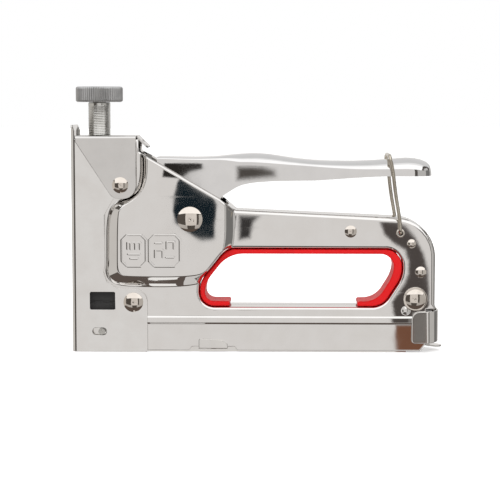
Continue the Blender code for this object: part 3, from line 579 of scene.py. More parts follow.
knurled = cast_steel("knurled_steel", (0.56, 0.56, 0.56), (0.44, 0.44, 0.44), 0.34, 0.006, 1400.0, 3.0)
threaded = cast_steel(
    "threaded_steel", (0.66, 0.655, 0.63), (0.58, 0.57, 0.54), 0.12, 0.0006, 1400.0, 5.0)
inner = cast_steel("inner_steel", (0.42, 0.41, 0.40), (0.30, 0.29, 0.28), 0.32, 0.01, 700.0, 8.0)
spring_steel = cast_steel(
    "spring_steel", (0.33, 0.33, 0.35), (0.22, 0.21, 0.22), 0.30, 0.004, 1500.0, 12.0)
brass = cast_steel("bush_brass", (0.68, 0.52, 0.26), (0.50, 0.36, 0.17), 0.28, 0.006, 900.0, 15.0)
rubber = moulded("rubber", (0.012, 0.012, 0.012), (0.028, 0.027, 0.026), 0.48, 0.02, 1100.0)
plastic = moulded("red_plastic", (0.58, 0.001, 0.003), (0.50, 0.001, 0.002), 0.36, 0.006, 1500.0)
plastic.node_tree.nodes["Principled BSDF"].inputs["Specular IOR Level"].default_value = 0.2


# ---- Body shells -----------------------------------------------------------------------------

FOOT = softened(BULGE_FOOT)
EDGE = softened(BULGE_EDGE)
OUTLINE = rounded(SHELL_OUTLINE, 5.0)
OPENING = rounded([(*corner, OPENING_ROLL) for corner in FINGER_OPENING], 5.0)
FILLET = 0.2


def eased(part):
    """Straight slope with a round fillet at each end, from 0 to 1."""
    top = 1.0 / (1.0 - FILLET)
    low = 0.5 * top / FILLET * part ** 2
    high = 1.0 - 0.5 * top / FILLET * (1.0 - part) ** 2
    middle = 0.5 * top * FILLET + top * (part - FILLET)
    return np.where(part < FILLET, low, np.where(part > 1.0 - FILLET, high, middle))


def emblem_lines():
    """Raised lines of the two pressed pictograms: octagon frames, staples and plain bars."""
    lines = []
    bottom, top, cut = EMBLEM_LOW, EMBLEM_HIGH, EMBLEM_CUT
    for low, high in EMBLEMS:
        lines.append(([
            (low + cut, bottom), (high - cut, bottom), (high, bottom + cut), (high, top - cut),
            (high - cut, top), (low + cut, top), (low, top - cut), (low, bottom + cut),
        ], True))
    for which, left, right, foot, crest in MARKS:
        middle = sum(EMBLEMS[which]) / 2.0
        left, right = middle + left, middle + right
        lines.append(([(left, foot), (left, crest), (right, crest), (right, foot)], False))
    return lines


def embossed(points):
    near = (points[:, 0] > EMBLEMS[0][0] - 2.0) & (points[:, 0] < EMBLEMS[1][1] + 2.0) & (
        points[:, 1] > EMBLEM_LOW - 2.0) & (points[:, 1] < EMBLEM_HIGH + 2.0)
    height = np.zeros(len(points))
    best = np.full(near.sum(), 1e9)
    for line, closed in emblem_lines():
        best = np.minimum(best, nearest(points[near], np.array(line), closed)[0])
    part = np.clip(1.0 - best / LINE_HALF, 0.0, 1.0)
    height[near] = LINE_RISE * part * part * (3.0 - 2.0 * part)
    return height


def shell_level(points):
    """Distance of the shell's outer face from the mid-plane."""
    in_foot, in_edge = inside(points, FOOT), inside(points, EDGE)
    to_foot = nearest(points, FOOT, False)[0]
    to_edge = nearest(points, EDGE, False)[0]
    part = np.where(in_edge, 1.0, np.where(in_foot, to_foot / np.maximum(to_foot + to_edge, 1e-6), 0.0))
    level = GRIP_HALF + RISE * eased(part)
    ridge = np.interp(points[:, 1], RIDGE, (0.0, RIDGE_RISE, RIDGE_RISE, 0.0))
    x = points[:, 0]
    skirt = np.clip((x + 52.0) / 1.5, 0.0, 1.0) * np.clip((74.5 - x) / 1.5, 0.0, 1.0)
    level += ridge * skirt
    away = np.hypot(points[:, 0] - DIMPLE[0], points[:, 1] - DIMPLE[1]) / DIMPLE[2]
    level += DIMPLE_RISE * np.clip(1.0 - away ** 2, 0.0, 1.0) ** 1.5
    level += embossed(points)
    for loop in (OUTLINE, OPENING):
        gap, roll = nearest(points, loop)
        depth = np.clip(roll - gap, 0.0, None)
        level -= roll - np.sqrt(np.maximum(roll ** 2 - depth ** 2, 0.0))
    return level


def roll_rings(loop, side):
    """Rings that follow a rolled edge, closer together where it turns most."""
    rings = []
    for angle in (15, 30, 45, 60, 75, 90):
        rings.append(moved_in(loop, side * loop[:, 2] * (1.0 - math.cos(math.radians(angle)))))
    rings.append(moved_in(loop, side * (loop[:, 2] + 0.3)))
    return rings


def make_shell():
    """Outer face of the left shell with walls to the mid-plane, grown inwards to sheet."""
    holes = [OPENING, circle(EYELET.x, EYELET.z, 1.5), moved_in(rounded(NOSE_SLOT), -0.2),
             moved_in(rounded(NOSE_WINDOW), -0.5)]
    loops = roll_rings(OUTLINE, 1.0) + roll_rings(OPENING, -1.0)
    x, z, radius = DIMPLE
    loops += [circle(x, z, radius * part, 20) for part in (0.25, 0.5, 0.75, 0.9, 1.0, 1.1)]
    lines = []
    for part in (0.0, 0.03, 0.07, 0.12, FILLET, 0.35, 0.5, 0.65, 1.0 - FILLET, 0.88, 0.93, 0.97, 1.0):
        lines.append(FOOT + (EDGE - FOOT) * part)
    for low in RIDGE:
        for shift in (-0.2, 0.0, 0.2):
            lines.append([(x, low + shift) for x in (-52.0, -50.5, 73.0, 74.5)])
    fine = 0.28
    across = np.arange(EMBLEMS[0][0] - 1.0, EMBLEMS[1][1] + 1.0, fine)
    up = np.arange(EMBLEM_LOW - 1.0, EMBLEM_HIGH + 1.0, fine)
    dots = np.array([(x, z) for x in across for z in up])
    flat, faces = pattern(OUTLINE, holes, loops, lines, dots)
    level = shell_level(flat)
    points = np.column_stack((flat[:, 0], -level, flat[:, 1]))

    # Walls run from the closed stretches of the rim to the seam.
    rim = open_edges(faces)
    middles = np.array([(flat[a] + flat[b]) / 2.0 for a, b in rim])
    at_opening = nearest(middles, OPENING)[0] < 0.01
    at_outline = nearest(middles, OUTLINE)[0] < 0.01
    at_outline &= (middles[:, 0] > LEVER_SLOT_END) & (middles[:, 1] > MAGAZINE_TOP)
    walls, twins, extra = [], {}, []
    for (a, b), walled in zip(rim, at_opening | at_outline):
        if not walled:
            continue
        for end in (a, b):
            if end not in twins:
                twins[end] = len(points) + len(extra)
                extra.append((flat[end][0], -SEAM, flat[end][1]))
        walls.append((b, a, twins[a], twins[b]))
    points = np.vstack((points, extra))
    shell = mesh_object("chrome_shell_left", points, [*map(tuple, faces), *walls])
    return thicken(shell, SHEET, even=True)


# ---- Folded sheet pieces ---------------------------------------------------------------------

def folded(u, half, bend, face, inward):
    """Place along a U-shaped sheet: a face at x = face, two bends and two sides running inward."""
    arc = math.pi / 2.0 * bend
    reach = np.abs(u)
    turn = np.clip((reach - half) / bend, 0.0, math.pi / 2.0)
    side = np.maximum(reach - half - arc, 0.0)
    x = face + inward * (bend * (1.0 - np.cos(turn)) + side)
    y = np.sign(u) * (np.minimum(reach, half) + bend * np.sin(turn))
    return x, y


def both_sides(half_outline):
    """Whole outline from its right half, which runs from the bottom middle to the top middle."""
    return half_outline + [(-u, *rest) for u, *rest in reversed(half_outline)]


def bend_lines(half, bend, low, high, steps=7):
    arc = math.pi / 2.0 * bend
    places = [half + arc * stage / steps for stage in range(steps + 1)]
    places = [half - 0.4, *places, half + arc + 0.4]
    return [[(side * u, low), (side * u, high)] for u in places for side in (-1, 1)]


def make_nose_plate():
    bend = 2.0
    half = NOSE_HALF - bend
    start = half + math.pi / 2.0 * bend - (NOSE_FRONT + bend)

    def unrolled(corners, side=1.0):
        return [(side * (start + x), z, radius) for x, z, radius in corners]

    outline = rounded(both_sides(unrolled(NOSE_SIDE) + NOSE_TAB))
    holes = [rounded(unrolled(part, side)) for part in (NOSE_WINDOW, NOSE_SLOT) for side in (-1.0, 1.0)]
    flat, faces = pattern(outline, holes, guards(outline, holes), bend_lines(half, bend, -2.0, 104.0))
    x, y = folded(flat[:, 0], half, bend, NOSE_FRONT, 1.0)
    plate = mesh_object("chrome_nose_plate", np.column_stack((x, -y, flat[:, 1])), faces)
    return thicken(plate, 0.9, 0.1)


def make_head_cap():
    bend = 1.3
    half = CAP_HALF - bend
    start = half + math.pi / 2.0 * bend + CAP_TOP - bend
    tongue_half, tongue_end, crease = 6.5, -47.0, -54.6
    corners = [(x, start - z, radius) for x, z, radius in CAP_EAR]
    side = [(tongue_end, tongue_half, 1.2), (-54.2, tongue_half, 0.8), (-54.2, half, 0.0)]
    side += [*corners, (-81.3, half, 0.0)]
    outline = rounded(side + [(x, -v, radius) for x, v, radius in reversed(side)])
    slot = rounded([(-51.3, -3.0, 0.6), (-49.9, -3.0, 0.6), (-49.9, 3.0, 0.6), (-51.3, 3.0, 0.6)])
    lines = [[(v, u) for u, v in line] for line in bend_lines(half, bend, -90.0, -40.0)]
    turn_end = math.radians(44.0)
    tongue_bend = 1.2
    folds = [crease + tongue_bend * turn_end * stage / 5.0 for stage in range(6)]
    lines += [[(x, -tongue_half - 0.5), (x, tongue_half + 0.5)] for x in folds]
    holes = [slot, circle(SCREW_X, 0.0, 5.7)]
    flat, faces = pattern(outline, holes, guards(outline, holes, 0.3), lines)
    across, drop = folded_down(flat[:, 1], half, bend)
    reach = np.maximum(flat[:, 0] - crease, 0.0)
    turn = np.minimum(reach / tongue_bend, turn_end)
    straight = np.maximum(reach - tongue_bend * turn_end, 0.0)
    on_tongue = (reach > 0.0) & (np.abs(flat[:, 1]) <= tongue_half + 1.3)
    out = crease + tongue_bend * np.sin(turn) + straight * math.cos(turn_end)
    down = tongue_bend * (1.0 - np.cos(turn)) + straight * math.sin(turn_end)
    x = np.where(on_tongue, out, flat[:, 0])
    z = CAP_TOP - np.where(on_tongue, down, drop)
    cap = mesh_object("chrome_head_cap", np.column_stack((x, across, z)), faces)
    return thicken(cap, 0.9, 0.1)


def folded_down(v, half, bend):
    """Across a channel that opens downwards: distance from the middle, and drop below the top."""
    arc = math.pi / 2.0 * bend
    reach = np.abs(v)
    turn = np.clip((reach - half) / bend, 0.0, math.pi / 2.0)
    side = np.maximum(reach - half - arc, 0.0)
    across = np.sign(v) * (np.minimum(reach, half) + bend * np.sin(turn))
    return across, bend * (1.0 - np.cos(turn)) + side


def make_latch_clip():
    bend = 5.2
    half = CLIP_HALF - bend
    arc = math.pi / 2.0 * bend
    side = half + arc + (CLIP_REAR - bend - 69.1)
    outline = rounded(both_sides([
        (half, 5.0, 0.0), (half + arc, 4.1, 2.0), (side, 4.1, 1.6), (side, 18.4, 3.6),
        (half + arc, 18.6, 2.0), (half, 19.2, 0.0),
    ]))
    flat, faces = pattern(outline, loops=guards(outline), lines=bend_lines(half, bend, 0.0, 25.0, 14))
    x, y = folded(flat[:, 0], half, bend, CLIP_REAR, -1.0)
    clip = mesh_object("spring_latch_clip", np.column_stack((x, y, flat[:, 1])), faces)
    return thicken(clip, 0.8, 0.2)


def make_latch_tongue():
    low, high = span("latch_tongue")
    half = high.y
    outline = rounded([
        (low.x, -half, 0.0), (76.0, -half, 2.0), (high.x, -2.5, 3.2), (high.x, 2.5, 3.2),
        (76.0, half, 2.0), (low.x, half, 0.0),
    ])
    rows = [[(x, -9.0), (x, 9.0)] for x in (74.5, 75.2, 76.0, 76.8, 77.6, 79.0, 80.5, 82.0)]
    flat, faces = pattern(outline, loops=guards(outline, gap=0.3), lines=rows)
    bends = (low.x, 74.5, 76.0, 77.6, 80.5, high.x)
    top = np.interp(flat[:, 0], bends, (3.45, 3.45, 3.3, 2.9, 2.45, 2.3))
    tongue = mesh_object("bent_latch_tongue", np.column_stack((flat[:, 0], flat[:, 1], top)), faces)
    return thicken(tongue, 0.7, 0.12)


def make_saddle(side_name, side):
    """Small ear on the skirt with a lip that turns under its edge."""
    low, high = span("saddle_clip_" + side_name)
    out = max(abs(low.y), abs(high.y))
    bend, lip_z = 0.8, low.z
    arc = math.pi / 2.0 * bend
    outline = rounded([
        (low.x, lip_z + bend + 0.2, 0.0), (low.x, high.z, 0.9), (high.x - 3.0, high.z - 0.5, 2.5),
        (high.x, 3.6, 1.2), (high.x, lip_z + bend, 0.0), (high.x, lip_z - arc - 0.2, 0.3),
        (low.x, lip_z - arc - 0.2, 0.3),
    ])
    rows = [[(x, lip_z + bend - arc * stage / 5.0) for x in (-40.0, 0.0)] for stage in range(6)]
    rows += [[(x, -4.0), (x, 9.0)] for x in np.linspace(low.x + 0.8, high.x - 0.8, 9)]
    flat, faces = pattern(outline, loops=guards(outline, gap=0.3), lines=rows)
    turn = np.clip((lip_z + bend - flat[:, 1]) / bend, 0.0, math.pi / 2.0)
    under = np.maximum(lip_z + bend - arc - flat[:, 1], 0.0)
    bow = 0.3 * np.cos(math.pi * (flat[:, 0] - low.x) / (high.x - low.x) - math.pi / 2.0)
    y = -(out - 0.3 + bow) + bend * (1.0 - np.cos(turn)) + under
    z = np.where(turn > 0.0, lip_z + bend - bend * np.sin(turn), flat[:, 1])
    ear = mesh_object("pressed_saddle_" + side_name, np.column_stack((flat[:, 0], y, z)), faces)
    if side > 0.0:
        ear.data.transform(Matrix.Diagonal((1.0, -1.0, 1.0, 1.0)))
        ear.data.flip_normals()
    return thicken(ear, 0.6, 0.15)


# ---- Lever -----------------------------------------------------------------------------------

def curve_through(stations, at):
    """Smooth values through stations, by cubic pieces with tangents from their neighbours."""
    x, y = stations
    slope = np.gradient(y, x)
    index = np.clip(np.searchsorted(x, at) - 1, 0, len(x) - 2)
    run = x[index + 1] - x[index]
    t = (at - x[index]) / run
    return ((2 * t ** 3 - 3 * t ** 2 + 1) * y[index] + (t ** 3 - 2 * t ** 2 + t) * run * slope[index]
            + (-2 * t ** 3 + 3 * t ** 2) * y[index + 1] + (t ** 3 - t ** 2) * run * slope[index + 1])


def make_lever():
    """Pressed channel: straight sides under a crown that is flat in front and round behind."""
    x_line = LEVER_STATIONS[:, 0]
    end = x_line[-1]
    tail = end - 12.0
    ahead = np.linspace(x_line[0], tail, 110)
    behind = tail + (end - 0.02 - tail) * np.sin(np.linspace(0.0, math.pi / 2.0, 26))[1:]
    at = np.concatenate((ahead, behind))
    crown, edge, low = (curve_through((x_line, LEVER_STATIONS[:, column]), at) for column in (1, 2, 3))
    part = np.clip((at - tail) / (end - tail), 0.0, 1.0)
    half = LEVER_HALF * np.maximum(1.0 - part ** 3.0, 0.0) ** (1.0 / 2.4)
    front = np.clip((-6.0 - at) / 18.0, 0.0, 1.0)
    power = 2.2 + 3.8 * front * front * (3.0 - 2.0 * front)
    corner = np.minimum(edge - 1.1 * front, crown - 0.3)
    arcs = 36
    points = []
    for x, top, side, foot, wide, squareness in zip(at, crown, corner, low, half, power):
        foot = min(foot, side - 0.2)
        section = [(-wide, foot + (side - foot) * share) for share in (0.0, 0.12, 0.5, 0.9)]
        for stage in range(arcs + 1):
            angle = math.pi * stage / arcs
            reach = math.copysign(abs(math.cos(angle)) ** (2.0 / squareness), -math.cos(angle))
            rise = abs(math.sin(angle)) ** (2.0 / squareness)
            section.append((wide * reach, side + (top - side) * rise))
        section += [(wide, foot + (side - foot) * share) for share in (0.9, 0.5, 0.12, 0.0)]
        points.extend((x, y, z) for y, z in section)
    columns = len(points) // len(at)
    faces = [face[::-1] for face in grid_faces(len(at), columns)]
    lever = mesh_object("chrome_lever", points, faces)
    return thicken(lever, 1.0)


# ---- Turned pieces, wire and springs ---------------------------------------------------------

def make_rivet(node, name):
    """Rivet with a low dome on each end, sized by its node."""
    low, high = span(node)
    x, _, z = centre(node)
    radius = (high.x - low.x) / 2.0
    out = high.y
    seats = {"lever_pivot_pin": BULGE_HALF, "cap_rivet": CAP_HALF, "nose_rivet": NOSE_HALF,
             "magazine_rivet": GRIP_HALF + 0.9}
    seat = seats.get(node, GRIP_HALF) + 0.05
    shaft = radius * 0.5
    foot = seat + 0.3
    ball = (radius ** 2 + (out - foot) ** 2) / (2.0 * (out - foot))
    edge = math.asin(radius / ball)
    dimple = radius * 0.09
    dome = [(0.0, out - 0.16), (dimple * 0.6, out - 0.12), (dimple, out - 0.03)]
    for angle in np.linspace(0.16, 1.0, 15) * edge:
        dome.append((ball * math.sin(angle), out - ball + ball * math.cos(angle)))
    upper = dome + [(radius, seat + 0.1), (radius - 0.08, seat), (shaft, seat)]
    profile = upper + [(r, -h) for r, h in reversed(upper)]
    return turned(name, profile, (x, 0.0, z), along_y=True)


def make_washer(side_name, side):
    low, high = span("rivet_washer_" + side_name)
    x, _, z = centre("rivet_washer_" + side_name)
    outer, bore = (high.x - low.x) / 2.0, 2.7
    near, far = sorted((abs(low.y), abs(high.y)))
    profile = [(bore, far - 0.05), (bore + 0.2, far), (outer - 0.4, far), (outer - 0.12, far - 0.08),
               (outer, far - 0.3), (outer, near), (bore, near), (bore, far - 0.05)]
    profile = [(r, side * h) for r, h in profile]
    return turned("flat_washer_" + side_name, profile, (x, 0.0, z), along_y=True)


def make_knob():
    low, high = span("knob")
    radius, bore = (high.x - low.x) / 2.0, 3.3
    flutes, depth = 64, 0.34

    def fluted(r, _, angle):
        band = np.clip((r - radius + 1.0) / 0.6, 0.0, 1.0)
        return r - band * depth * (0.5 - 0.5 * math.cos(flutes * angle)) ** 0.7

    arc = np.radians(np.linspace(0, 90, 7))
    rim = [(radius - 1.0 + math.sin(a), high.z - 1.0 + math.cos(a)) for a in arc]
    foot = [(radius - 1.0 + math.cos(a), low.z + 1.0 - math.sin(a)) for a in arc]
    body = [(radius, height) for height in np.linspace(high.z - 1.2, low.z + 1.2, 5)]
    crown = [(bore, high.z - 1.2), (radius - 3.4, high.z - 1.2), (radius - 3.0, high.z - 1.0),
             (radius - 2.6, high.z - 0.2), (radius - 2.2, high.z)]
    profile = crown + rim + body + foot + [(bore, low.z), (bore, high.z - 1.2)]
    return turned("fluted_knob", profile, (SCREW_X, 0.0, 0.0), steps=flutes * 6, radius_of=fluted)


def make_screw():
    low, high = span("adjusting_screw")
    radius, spigot, depth = (high.x - low.x) / 2.0, 3.0, 0.13
    shoulder = span("knob")[0].z - 0.1
    rows = np.arange(low.z + 1.2, shoulder - 0.8, 0.1)

    def threaded_radius(r, height, angle):
        if r < radius - 0.01 or height < low.z + 1.1:
            return r
        phase = STARTS * (height / LEAD - angle / (2.0 * math.pi)) % 1.0
        fade = min(1.0, (shoulder - 0.8 - height) / LEAD, (height - low.z - 1.0) / LEAD)
        return r - depth * max(fade, 0.0) * (0.5 + 0.5 * math.cos(2.0 * math.pi * phase))

    profile = [(0.0, high.z), (spigot - 0.3, high.z), (spigot, high.z - 0.3), (spigot, shoulder),
               (radius - 0.4, shoulder), (radius - 0.02, shoulder - 0.4)]
    profile += [(radius, height) for height in reversed(rows)]
    profile += [(radius - 1.0, low.z), (0.0, low.z)]
    return turned("threaded_screw", profile, (SCREW_X, 0.0, 0.0), radius_of=threaded_radius)


def make_eyelet():
    low, high = span("bail_eyelet")
    flange, tube, bore = (high.x - low.x) / 2.0, 1.5, 1.12
    end, seat = high.y, high.y - 0.5
    lip = [(bore, end - 0.25), (bore + 0.1, end - 0.08), (bore + 0.3, end), (flange - 0.3, end - 0.05),
           (flange - 0.08, end - 0.2), (flange, end - 0.4), (tube, seat)]
    profile = lip + [(r, -h) for r, h in reversed(lip)] + [lip[0]]
    return turned("rolled_eyelet", profile, (EYELET.x, 0.0, EYELET.z), along_y=True, steps=40)


def make_bail():
    """Wire bail hooked in the eyelet, with the slightly uneven legs of bent wire."""
    low, high = span("wire_bail")
    radius, bend = 0.8, 2.2
    half = high.y - radius
    hinge = Vector((EYELET.x, 0.0, EYELET.z))
    top = Vector((low.x + radius, 0.0, high.z - radius))
    leg = (top - hinge).normalized()
    aside = Vector((leg.z, 0.0, -leg.x))
    out = Vector((0.0, 1.0, 0.0))
    line = [hinge + out * 5.5]
    quarter = np.radians(np.linspace(0, 90, 9))
    for angle in quarter:
        wide, along = half - bend + bend * math.sin(angle), bend * (1.0 - math.cos(angle))
        line.append(hinge + out * wide + leg * along)
    length = (top - hinge).length
    for share in np.linspace(0.12, 0.9, 14):
        bow = 0.35 * math.sin(math.pi * share)
        sway = bow + 0.15 * math.sin(3.0 * math.pi * share)
        line.append(hinge + out * (half - bow) + leg * length * share + aside * sway)
    for angle in quarter:
        wide, along = half - bend + bend * math.cos(angle), bend * (1.0 - math.sin(angle))
        line.append(top + out * wide - leg * along)
    near = [Vector((p.x, -p.y, p.z)) for p in reversed(line)]
    for index, point in enumerate(line):
        point.x -= 0.8 * math.sin(math.pi * index / (len(line) - 1))
    return wire("bent_wire_bail", line + near, radius, 6)


def make_springs():
    low, high = span("main_spring")
    main = coil(centre("main_spring"), 2, 5.6, low.z + 0.8, high.z - 0.8, 5.5)
    spring = wire("coiled_main_spring", main, 0.8)
    place_piece(spring, "hammer", "spring_steel", spring_steel, "main_spring")
    low, high = span("pusher_spring")
    axis = centre("pusher_spring")
    push = coil(axis, 0, 2.25, low.x + 0.3, high.x - 0.3, 20, 16)
    spring = wire("coiled_pusher_spring", push, 0.3, 2)
    place_piece(spring, "magazine", "spring_steel", spring_steel, "pusher_spring")


def make_liner():
    high = span("grip_liner")[1]
    return pillow("moulded_grip_liner", rounded(LINER, 6.0), high.y, 0.95)


def make_bumper():
    """Rubber block with a groove round its waist."""
    low, high = span("rubber_bumper")
    waist, groove = low.z + 4.2, 0.45
    section = [
        (-high.y, low.z), (high.y, low.z), (high.y, waist - 0.4), (high.y - groove, waist - 0.2),
        (high.y - groove, waist + 0.2), (high.y - 0.2, waist + 0.4), (high.y - 0.2, high.z),
        (-high.y + 0.2, high.z), (-high.y + 0.2, waist + 0.4), (-high.y + groove, waist + 0.2),
        (-high.y + groove, waist - 0.2), (-high.y, waist - 0.4),
    ]
    return bar("grooved_bumper", section, low.x, high.x, 0.12)


# ---- Assembly --------------------------------------------------------------------------------

shell_left = make_shell()
shell_right = mirrored(shell_left, "chrome_shell_right")
place_piece(shell_left, "root", "chrome_sheet", shell_chrome, "shell_left")
place_piece(shell_right, "root", "chrome_sheet", shell_chrome, "shell_right")
place_piece(make_nose_plate(), "root", "chrome_sheet", plate_chrome, "nose_plate")
place_piece(make_head_cap(), "root", "chrome_sheet", cap_chrome, "head_cap")
place_piece(make_lever(), "lever", "chrome_sheet", lever_chrome, "handle_lever")
place_piece(make_latch_clip(), "magazine", "chrome_sheet", clip_chrome, "latch_clip")
place_piece(make_latch_tongue(), "magazine", "chrome_sheet", clip_chrome, "latch_tongue")
for side_name, side in (("left", -1.0), ("right", 1.0)):
    saddle, washer = make_saddle(side_name, side), make_washer(side_name, side)
    place_piece(saddle, "root", "chrome_sheet", clip_chrome, "saddle_clip_" + side_name)
    place_piece(washer, "root", "rivet_steel", rivet_chrome, "rivet_washer_" + side_name)
for node in ("cap_rivet", "nose_rivet", "lever_pivot_pin", "grip_rivet", "shoulder_rivet", "rear_rivet",
             "magazine_rivet"):
    rivet = make_rivet(node, "domed_" + node.removeprefix("lever_"))
    place_piece(rivet, "root", "rivet_steel", rivet_chrome, node)
place_piece(make_eyelet(), "root", "rivet_steel", rivet_chrome, "bail_eyelet")
place_piece(make_screw(), "screw", "zinc_steel", threaded, "adjusting_screw")
place_piece(make_knob(), "screw", "knurled_steel", knurled, "knob")
place_piece(make_bail(), "bail", "zinc_steel", wire_steel, "wire_bail")
place_piece(make_liner(), "root", "red_plastic", plastic, "grip_liner")
place_piece(make_bumper(), "root", "black_rubber", rubber, "rubber_bumper")
make_springs()

CARRIED = {
    "screw_nut": zinc, "magazine_channel": clip_chrome, "staple_rail": zinc, "nose_pin_left": zinc,
    "nose_pin_right": zinc, "pivot_bush": brass, "lifting_arm": inner, "return_spring": spring_steel,
    "hammer_block": inner, "driver_blade": inner, "spring_seat": inner, "magazine_rod": zinc,
    "end_block": inner, "pusher": zinc,
}
for node, finish in CARRIED.items():
    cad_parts[node].material_slots[0].material = finish


# ---- Stage, light and camera -----------------------------------------------------------------

VIEW_WIDTH = 224.0
WALL = 740.0
DISTANCE = 690.0
CAMERA = Vector((14.0, -9.0 - DISTANCE, 112.0))
AIM = Vector((-3.4, -9.0, 46.1))


# Outlines (x, z) on the side faces, where dark things round the camera are mirrored.
BULGE_SHADE = [
    (-34.6, 78.4), (-24.0, 72.2), (-19.2, 69.2), (-18.0, 66.7), (-18.8, 51.0), (-24.6, 50.0),
    (-29.5, 53.5), (-36.6, 58.6), (-37.6, 64.0), (-37.0, 70.7), (-35.9, 76.5),
]
LEVER_SHADE = [(-41.5, 86.6), (-24.7, 86.6), (-24.7, 82.5), (-30.0, 81.0), (-34.0, 78.0), (-42.5, 79.0)]
LEVER_SHADE_TWO = [(-9.0, 83.4), (2.0, 83.4), (7.5, 81.6), (8.0, 79.2), (-9.0, 77.6)]
GRIP_SHADE = [(-8.2, 61.6), (0.8, 61.6), (-2.0, 58.5), (-3.4, 51.6), (-8.2, 50.8)]
SHOULDER_SHADE = [
    (54.7, 58.8), (56.6, 53.4), (60.7, 49.4), (65.9, 46.4), (67.4, 41.6), (67.5, 35.6), (65.9, 31.1),
    (62.9, 26.6), (60.3, 22.9), (61.0, 17.7), (62.4, 12.0), (77.2, 12.0), (77.0, 28.0), (76.2, 37.0),
    (74.1, 44.7), (70.4, 51.8), (65.9, 57.0), (62.2, 59.0),
]
CLIP_SHADE = [(69.5, 18.3), (76.3, 18.3), (76.3, 4.4), (69.5, 4.4)]
HEEL_SHADE = [(62.2, 12.3), (61.6, 8.0), (62.4, -1.0), (77.0, -1.0), (77.0, 12.3)]


def emitter(name, colour, strength):
    made = bpy.data.materials.new(name)
    made.use_nodes = True
    tree = made.node_tree
    tree.nodes.clear()
    light = tree.nodes.new("ShaderNodeEmission")
    light.inputs["Color"].default_value = (*colour, 1.0)
    light.inputs["Strength"].default_value = strength
    out = tree.nodes.new("ShaderNodeOutputMaterial")
    tree.links.new(light.outputs["Emission"], out.inputs["Surface"])
    return made


def card(name, corners, colour, strength):
    """Studio card that only mirrors see."""
    obj = mesh_object(name, corners, [tuple(range(len(corners)))], smooth=False)
    obj.data.materials.append(emitter(name, colour, strength))
    only_mirrored(obj)


def upright(start, end, low, high):
    """Corners of an upright card over the line between two places (x, y)."""
    return [(*start, low), (*end, low), (*end, high), (*start, high)]


def level(x, y, z):
    """Corners of a level card, from the lowest and highest x and y."""
    return [(x[0], y[0], z), (x[1], y[0], z), (x[1], y[1], z), (x[0], y[1], z)]


def only_mirrored(obj):
    obj.visible_camera = False
    obj.visible_diffuse = False
    obj.visible_shadow = False


def soft_card(name, outline, colour, strength, fade, foot_fade, behind, rear):
    """Dark patch, mirrored by the flat side faces on outline (x, z), with speckled soft edges."""
    loop = np.array(outline, float)
    low, high = loop.min(axis=0) - fade, loop.max(axis=0) + fade
    side = 110
    across, up = np.meshgrid(np.linspace(low[0], high[0], side), np.linspace(low[1], high[1], side))
    flat = np.column_stack((across.ravel(), up.ravel()))
    gap = nearest(flat, loop)[0]
    depth = np.where(inside(flat, loop), gap, -gap)
    speckle = np.random.default_rng(7).uniform(-1.0, 1.0, len(flat))
    share = np.clip(0.5 + (depth + 0.35 * fade * speckle) / (2.0 * fade), 0.0, 1.0)
    if foot_fade:
        share *= np.clip((flat[:, 1] - low[1]) / foot_fade + 0.4 * speckle, 0.0, 1.0)
    x, z = (flat + (flat - (CAMERA.x, CAMERA.z)) * behind / DISTANCE).T
    y = np.full(len(x), (GRIP_HALF + behind) * (1.0 if rear else -1.0))
    obj = mesh_object(name, np.column_stack((x, y, z)), grid_faces(side, side), smooth=False)
    shade_of = obj.data.attributes.new("share", "FLOAT", "POINT")
    shade_of.data.foreach_set("value", (share * share * (3.0 - 2.0 * share)).astype(np.float32))
    made = emitter(name, colour, strength)
    tree = made.node_tree
    clear = tree.nodes.new("ShaderNodeBsdfTransparent")
    mix = tree.nodes.new("ShaderNodeMixShader")
    attribute = tree.nodes.new("ShaderNodeAttribute")
    attribute.attribute_name = "share"
    tree.links.new(attribute.outputs["Fac"], mix.inputs[0])
    tree.links.new(clear.outputs[0], mix.inputs[1])
    tree.links.new(tree.nodes["Emission"].outputs[0], mix.inputs[2])
    tree.links.new(mix.outputs[0], tree.nodes["Material Output"].inputs["Surface"])
    obj.data.materials.append(made)
    only_mirrored(obj)
    return obj


WHITE = (1.0, 1.0, 1.0)
WARM = (1.0, 0.98, 0.96)
DULL = (1.0, 0.98, 0.95)
CARDS = [
    ("roof", level((-900, 900), (-150, 150), 900), WHITE, 1.0),
    ("left_wall", upright((-900, -600), (-900, 600), -400, 500), (1.0, 0.965, 0.92), 0.66),
    ("right_wall", upright((900, -150), (900, 600), -400, 260), DULL, 0.20),
    ("right_corner", upright((440, -735), (900, -150), -300, 260), DULL, 0.55),
    ("right_strip", upright((900, -300), (900, 300), 260, 520), WARM, 0.6),
    ("pit", level((-900, 900), (-600, 60), -500), (1.0, 0.80, 0.70), 0.12),
    ("pit_rear", level((-900, 900), (60, 600), -500), WARM, 1.1),
    ("low_strip", level((-92, -50), (-240, -40), -400), (1.0, 0.99, 0.97), 1.0),
    ("rear_apron", upright((-1200, 760), (1200, 760), -900, 330), WARM, 0.6),
    ("low_pale", level((-30, 900), (-200, 0), -480), WARM, 0.7),
    ("front_apron", upright((-230, -760), (-1200, -760), -900, -330), WARM, 0.55),
    ("front_apron", upright((230, -760), (1200, -760), -900, -330), WARM, 0.55),
]
